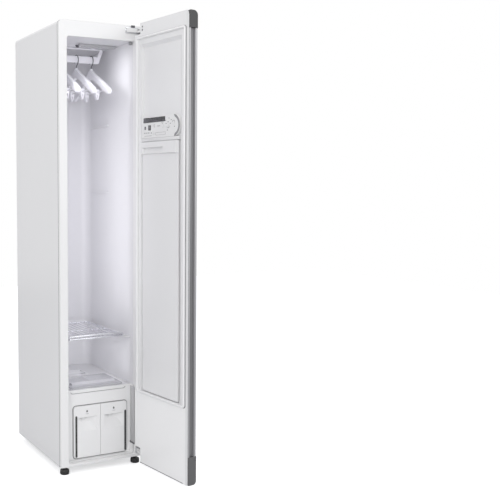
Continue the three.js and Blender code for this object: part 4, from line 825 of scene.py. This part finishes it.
# ---- Hinge covers: white moulded covers clipped over the leaf, with thin sleeves above and below the
# arm where it holds the pin.
pin_x, pin_y = 166, -30
cover_white = surface(
    "white_hinge_cover", (0.86, 0.86, 0.86), 0.25, mottle=0.01, size=300, depth=0.01, edge=0.0006,
)
for level, x, width, leaf_z, sleeves in (
    ("upper", 137, 0.05, 1830, ((1821.5, 0.0083), (1834.2, 0.0035))),
    ("lower", 167.5, 0.021, 60, ((64.2, 0.0045), (50.5, 0.0093))),
):
    plate = rounded_plate("plate", width, 0.0165, 0.004, 0.0028, edge=0.0012)
    stand_on(plate, spot(x, leaf_y, leaf_z), (0, -1, 0))
    parts = [plate]
    for z, tall in sleeves:
        sleeve = rounded_plate("sleeve", 0.0145, 0.029, 0.006, tall, edge=0.001)
        sleeve.location = spot(pin_x, -18.5, z)
        parts.append(sleeve)
    finish_piece(joined(f"{level}_hinge_cover", parts), cover_white, "cabinet")

# ---- Hinge adjuster: a small dark block with rounded edges on top of the upper leaf. It is set when
# the door is hung and holds the leaf at that height.
block = rounded_plate("hinge_adjuster", 0.017, 0.0066, 0.002, 0.0085, edge=0.001)
block.location = spot(140.5, -4.4, 1841.8)
finish_piece(block, sensor_plastic, "cabinet")

# ---- Door: a pearl-white steel outer panel folded round a foam core, with a moulded liner, the trouser
# press's plate and a glossy lower panel on its inner face. It hangs on two pins, photographed 97 degrees
# open.
door_turn = math.radians(97)
door_x = Vector((math.cos(door_turn), math.sin(door_turn), 0))
door_y = Vector((-math.sin(door_turn), math.cos(door_turn), 0))


def door_spot(x, y, z):
    """A place in millimetres from the hinge pin in the door's own axes, as a vector in metres."""
    return spot(pin_x, pin_y, z) + door_x * (x / 1000) + door_y * (y / 1000)


door_face = surface(
    "pearl_door_face", (0.77, 0.77, 0.775), 0.36, mottle=0.008, size=200, depth=0.006, edge=0.002,
    Coat_Weight=0.4, Coat_Roughness=0.12,
)
dress(door_face, "door_outer_panel")
door_plastic = surface(
    "white_door_liner", (0.83, 0.83, 0.834), 0.34, mottle=0.008, size=240, depth=0.008, edge=0.002,
    Coat_Weight=0.25, Coat_Roughness=0.15,
)
dress(door_plastic, "door_liner", "press_plate")
lower_plastic = surface(
    "bright_lower_panel", (0.94, 0.94, 0.94), 0.22, mottle=0.006, size=240, depth=0.006, edge=0.002,
)
dress(lower_plastic, "door_lower_panel")

# ---- Gasket: a soft white magnetic seal, extruded, with a round bulb on a thin foot, welded at its
# corners and pushed into the liner's groove. A grey line round the bulb is painted shadow of the bulb.
gasket_rubber = surface("white_gasket_rubber", (0.92, 0.92, 0.922), 0.4, mottle=0.01, size=300, depth=0.02)
groove_left, groove_low, groove_high, groove_round = -337, 325, 1797, 14


def groove_line(inset, rise):
    left, low, high = groove_left + inset, groove_low + inset, groove_high - inset
    return [door_spot(x, rise, z) for x, z in rounded_loop(left, -inset, low, high, groove_round - inset)]


seal_runs = []
for inset, rise, radius in ((5.8, 25, 0.0043), (5.5, 21.4, 0.0011), (9, 21.6, 0.0013)):
    seal_runs.append(bent_wire("seal", groove_line(inset, rise), radius, closed=True))
seal = finish_piece(joined("bulb_gasket", seal_runs), gasket_rubber, "door", 60)
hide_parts("door_gasket")
# This grey draws the painted shadow line round the gasket's bulb; the door sweep uses it too.
gasket_shadow_and_sweep_grey = surface("grey_gasket_shadow_and_sweep", (0.42, 0.42, 0.43), 0.5, mottle=0.02, size=300, depth=0.03)
gasket_shadow_run = bent_wire("gasket_painted_shadow", groove_line(0.7, 21.2), 0.0013, closed=True, sides=2)
finish_piece(gasket_shadow_run, gasket_shadow_and_sweep_grey, "door", 60)

# ---- Edge trim: a brushed metal channel pushed over the door's free edge, with a dark strip in its
# long outer groove as painted shade on the groove's floor.
trim_metal = surface(
    "brushed_edge_trim", (0.37, 0.37, 0.38), 0.36, metal=0.6, mottle=0.03, size=300, depth=0.02,
)
dress(trim_metal, "door_edge_trim")
# The dark grey strip in the groove is painted shade; the door plate screws use the same grey.
groove_shade_and_screw_grey = surface(
    "dark_groove_shade_and_screws", (0.19, 0.19, 0.195), 0.4, metal=0.3, mottle=0.04, size=300, depth=0.04,
)
groove_shade_size = (0.0212, 1.649, 0.0005, 0.0012, 0.0003)
fit_plate("edge_trim_groove_shade", groove_shade_size, door_spot(-343.9, 1, 960), -door_x, groove_shade_and_screw_grey, "door")

# ---- Edge lip: a thin glossy white strip that laps over the trim's inner face, drawn in at its top and
# foot. It is glued to the liner's edge.
door_gloss = surface(
    "pearl_door_panel", (0.8, 0.8, 0.805), 0.3, mottle=0.008, size=200, depth=0.006, edge=0.002,
    Coat_Weight=0.8, Coat_Roughness=0.04,
)
lip_inner, lip_outer, lip_top, lip_foot, lip_middle = -337.5, -351.8, 1851.5, 22.5, 900
lip_points = [(lip_inner, lip_foot), (lip_inner, lip_top)]
for turn in (math.pi / 2 * n / 8 for n in range(9)):
    lip_points.append((lip_outer + 14.2 * (1 - math.sin(turn)), lip_top - 20 + 20 * math.cos(turn)))
lip_points.append((lip_outer, lip_foot + 7.5))
for turn in (math.pi / 2 * n / 6 for n in range(1, 7)):
    lip_points.append((lip_outer + 8 * (1 - math.cos(turn)), lip_foot + 7.5 - 7.5 * math.sin(turn)))
lip = flat_shape("edge_lip", [(x, z - lip_middle) for x, z in lip_points], 0.8)
stand_on(lip, door_spot(0, 20.45, lip_middle), -door_y)
finish_piece(lip, door_gloss, "door")

# ---- Edge caps: charcoal plastic caps moulded with round corners, pushed into the trim's two ends. The
# lower one is moulded in a slightly lighter grey.
# This charcoal is also painted shade for the hinge notches in the door.
cap_and_notch_shade_charcoal = surface("charcoal_cap_and_notch_shade", (0.035, 0.036, 0.037), 0.42, mottle=0.03, size=400, depth=0.05)
low_cap_grey = surface("grey_low_cap", (0.11, 0.11, 0.112), 0.4, mottle=0.03, size=400, depth=0.04)
outer_y, inner_y, square = -22, 20, 0.1
for level, material, z0, z1, outer_low, outer_high, inner_low, inner_high in (
    ("top", cap_and_notch_shade_charcoal, 1785, 1852, square, 19, square, 9),
    ("low", low_cap_grey, 22, 135, 14, square, 8, square),
):
    points = corner(outer_y + outer_high, z1 - outer_high, outer_high, 90)
    points += corner(outer_y + outer_low, z0 + outer_low, outer_low, 180)
    points += corner(inner_y - inner_low, z0 + inner_low, inner_low, 270)
    points += corner(inner_y - inner_high, z1 - inner_high, inner_high, 0)
    cap = flat_shape(f"rounded_edge_cap_{level}", points, 14.5, 0.0012)
    stand_on(cap, door_spot(-344.7, 0, 0), door_x)
    finish_piece(cap, material, "door", 30)
    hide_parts(f"edge_cap_{level}")

# ---- Door sweep: a grey rubber strip along the foot of the inner face, held in a shallow groove. It
# brushes the base when the door closes.
face_y = 20
sweep_size, sweep_spot = (0.3, 0.0042, 0.001, 0.0012, 0.0004), door_spot(-170, face_y - 0.1, 24.8)
fit_plate("door_sweep", sweep_size, sweep_spot, door_y, gasket_shadow_and_sweep_grey, "door")

# ---- Door plate screws: two dark pan-head screws beside the upper arm. They hold the steel plate for
# the pin, which lies inside the door.
head = pan_head(0.0038, 0.0018)
heads = [copy_to(head, door_spot(-38, face_y, z), door_y) for z in (1836, 1823)]
finish_piece(joined("door_plate_screws", heads), groove_shade_and_screw_grey, "door")
bpy.data.objects.remove(head)

# ---- Hinge notch shade: thin charcoal plates behind the arms, in the door's notches, as painted shade
# for the shadowed notches.
# The charcoal plates are painted shade in the notches behind the hinge arms.
notch_shade_size = (0.033, 0.04, 0.003, 0.001, 0.0003)
for level, z in (("upper", 1830), ("lower", 54)):
    fit_plate(f"{level}_hinge_notch_shade", notch_shade_size, door_spot(-4.5, -18.3, z), door_y, cap_and_notch_shade_charcoal, "door")

# ---- Control panel and its keys: a satin white moulded panel with one round end, screwed to the liner
# from behind, and four keys that press in through it.
panel_plastic = surface("satin_panel_plastic", (0.82, 0.82, 0.82), 0.36, mottle=0.008, size=300, depth=0.012)
dress(panel_plastic, "control_panel", "power_button", "start_button", "course_button", "option_button")

# ---- Panel ledge: a glossy white moulded filler between the panel and the press block, snapped over the
# recess between them.
ledge_size, ledge_spot = (0.256, 0.0133, 0.001, 0.0122, 0.0006), door_spot(-160, 8.1, 1375.6)
fit_plate("panel_ledge", ledge_size, ledge_spot, door_y, door_gloss, "door")

# ---- Panel glass and numbers: a smoked acrylic strip glued over the display, and two small dark
# windows with plain lit numbers of seven bars each.
glass = surface(
    "smoked_display_glass", (0.05, 0.05, 0.052), 0.1, mottle=0.15, size=60, depth=0.0, edge=0.0004,
    Coat_Weight=0.8, Coat_Roughness=0.03,
)
glass_size, glass_spot = (0.152, 0.0196, 0.0008, 0.0011, 0.0003), door_spot(-123.5, 20.35, 1453.75)
fit_plate("display_glass", glass_size, glass_spot, door_y, glass, "door")
lit = surface(
    "lit_number", (0.5, 0.5, 0.5), 0.5, mottle=0.02, size=300, depth=0.0,
    Emission_Color=(0.8, 0.82, 0.85, 1), Emission_Strength=0.25,
)
bar_places = {
    "top": (0, 2), "middle": (0, 0), "low": (0, -2),
    "high_left": (-1, 1), "high_right": (1, 1), "low_left": (-1, -1), "low_right": (1, -1),
}
digit_bars = {
    3: ("top", "middle", "low", "high_right", "low_right"),
    5: ("top", "middle", "low", "high_left", "low_right"),
}
window_z, bar_long, bar_thin = 1423, 0.8, 0.16
for label, x, width, height, digit, size in (
    ("small", -60.6, 0.0107, 0.0126, 3, 3.2), ("large", -91.5, 0.019, 0.0206, 5, 5.2),
):
    pane_size = (width, height, 0.0006, 0.0007, 0.0002)
    fit_plate(f"{label}_window_glass", pane_size, door_spot(x, 20.75, window_z), door_y, glass, "door")
    bars = []
    for across, up in (bar_places[part] for part in digit_bars[digit]):
        wide, tall = (bar_thin, bar_long) if across else (bar_long, bar_thin)
        bar = rounded_plate("bar", size * wide / 1000, size * tall / 1000, 0.0001, 0.00015, edge=0, steps=1)
        stand_on(bar, door_spot(x - across * size * 0.5, 21.45, window_z + up * size * 0.5), door_y)
        bars.append(bar)
    finish_piece(joined(f"{label}_number", bars), lit, "door")

# ---- Panel prints: small plain grey bars, rings and one frame beside the keys, laid on the panel's
# face in screen ink after it is moulded.
panel_y, ink = 21.5, 0.0002
prints = []


def print_bar(x, z, width, height):
    bar = rounded_plate("bar", width / 1000, height / 1000, min(width, height) * 0.0003, ink, edge=0, steps=2)
    stand_on(bar, door_spot(x, panel_y - 0.05, z), door_y)
    prints.append(bar)


def print_ring(x, z, radius, turn0, turn1):
    whole_turn = turn1 - turn0 >= 360
    count = max(6, int((turn1 - turn0) / 15))
    ring = []
    for n in range(count + (not whole_turn)):
        angle = math.radians(turn0 + (turn1 - turn0) * n / count)
        ring.append(door_spot(x - radius * math.cos(angle), panel_y, z + radius * math.sin(angle)))
    prints.append(bent_wire("ring", ring, 0.0006, closed=whole_turn, sides=1))


print_ring(-128, 1429, 5, 60, 300)
print_bar(-156, 1427.5, 20, 1.6)
print_ring(-181.9, 1440, 4, 0, 360)
print_bar(-186, 1449, 6, 2.4)
for x, z in (
    (-203, 1447), (-206, 1434), (-219.9, 1440), (-234, 1433), (-240, 1447), (-226, 1454), (-262, 1420),
    (-215, 1408),
):
    print_bar(x, z, 5.5, 2.6)
print_ring(-219.9, 1425.5, 9.4, 200, 340)
print_ring(-255.9, 1434.5, 9.4, 20, 160)
for x, width in ((-58, 10), (-72, 9), (-86, 12)):
    print_bar(x, 1403 + (x + 72) * 0.02, width, 2.2)
print_bar(-104, 1402, 6, 4)
print_bar(-82, 1391, 54, 1.2)
frame_path = [door_spot(x, panel_y, z) for x, z in rounded_loop(-202, -133, 1391.5, 1402, 2.5, 3)]
prints.append(bent_wire("frame", frame_path, 0.0004, closed=True, sides=1))
finish_piece(joined("panel_prints", prints), mark_grey, "door")

# ---- Panel end shade: a grey crescent round the panel's round end, where its edge turns down, painted
# shade for the panel's shadowed end face and the gap round it. It narrows to nothing at both tips.
crescent_shade_grey = surface("painted_crescent_shade", (0.3, 0.3, 0.31), 0.45, mottle=0.03, size=300, depth=0.03)
end_radius, crescent_width, half_steps, half_turn = 42.6, 9.5, 12, 84
outer_arc, inner_arc = [], []
for n in range(-half_steps, half_steps + 1):
    angle = math.radians(half_turn * n / half_steps)
    taper = min(1, 7 * (1 - abs(n) / half_steps)) ** 0.8
    inner_radius = end_radius - crescent_width * taper
    outer_arc.append((end_radius * math.cos(angle), end_radius * math.sin(angle)))
    inner_arc.append((inner_radius * math.cos(angle), inner_radius * math.sin(angle)))
# The grey crescent is painted shade for the panel's shadowed end.
crescent = flat_shape("panel_end_painted_shade", outer_arc + inner_arc[-2:0:-1], 0.6)
stand_on(crescent, door_spot(-254, panel_y + 0.2, 1425.5), door_y)
finish_piece(crescent, crescent_shade_grey, "door")

# ---- Press pad: grey cotton over thin felt, quilted in wide bars and bound at its edge, which lies
# in the door's recess under the trouser press.
pad_cloth = surface("grey_press_cloth", (0.5, 0.5, 0.52), 0.9, mottle=0.05, size=500, depth=0.1)
net = pad_cloth.node_tree
where = add_node(net, "TexCoord")
warp = add_node(net, "TexWave", Scale=420)
warp.bands_direction = "Z"
weft = add_node(net, "TexWave", Scale=420)
weft.bands_direction = "Y"
weave = add_sum(net, "MULTIPLY")
ridge = add_node(net, "Bump", Strength=0.35, Distance=0.0003)
link_all(net, (
    (where, "Object", warp, "Vector"),
    (where, "Object", weft, "Vector"),
    (warp, "Fac", weave, 0),
    (weft, "Fac", weave, 1),
    (weave, 0, ridge, "Height"),
    (ridge, "Normal", net.nodes["Principled BSDF"], "Normal"),
))
pad_low, pad_high, pad_width = 400, 1277.5, 0.196
pad_length = (pad_high - pad_low) / 1000
bpy.ops.mesh.primitive_grid_add(x_subdivisions=40, y_subdivisions=176, size=1)
pad = bpy.context.object
pad.name = "padded_press_pad"
pad.scale = (pad_width, pad_length, 1)
bpy.ops.object.transform_apply()
rim_width, felt, crown, bar_pitch, seam_share = 0.012, 0.0004, 0.0022, 0.0975, 0.9
for point in pad.data.vertices:
    u, v = point.co.x, point.co.y
    rim_gap = min(pad_width / 2 - abs(u), pad_length / 2 - abs(v))
    swell = min(1.0, max(0.0, rim_gap / rim_width)) ** 0.5
    from_middle = abs((v + pad_length / 2) % bar_pitch - bar_pitch / 2) / (bar_pitch / 2)
    point.co.z = felt + crown * swell * (1 - max(0.0, from_middle - seam_share) * 6)
solid = pad.modifiers.new("felt", "SOLIDIFY")
solid.thickness = 0.0012
solid.offset = -1
bpy.ops.object.modifier_apply(modifier="felt")
stand_on(pad, door_spot(-151, 9.4, (pad_low + pad_high) / 2), door_y)
finish_piece(pad, pad_cloth, "door", 60)
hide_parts("press_pad")
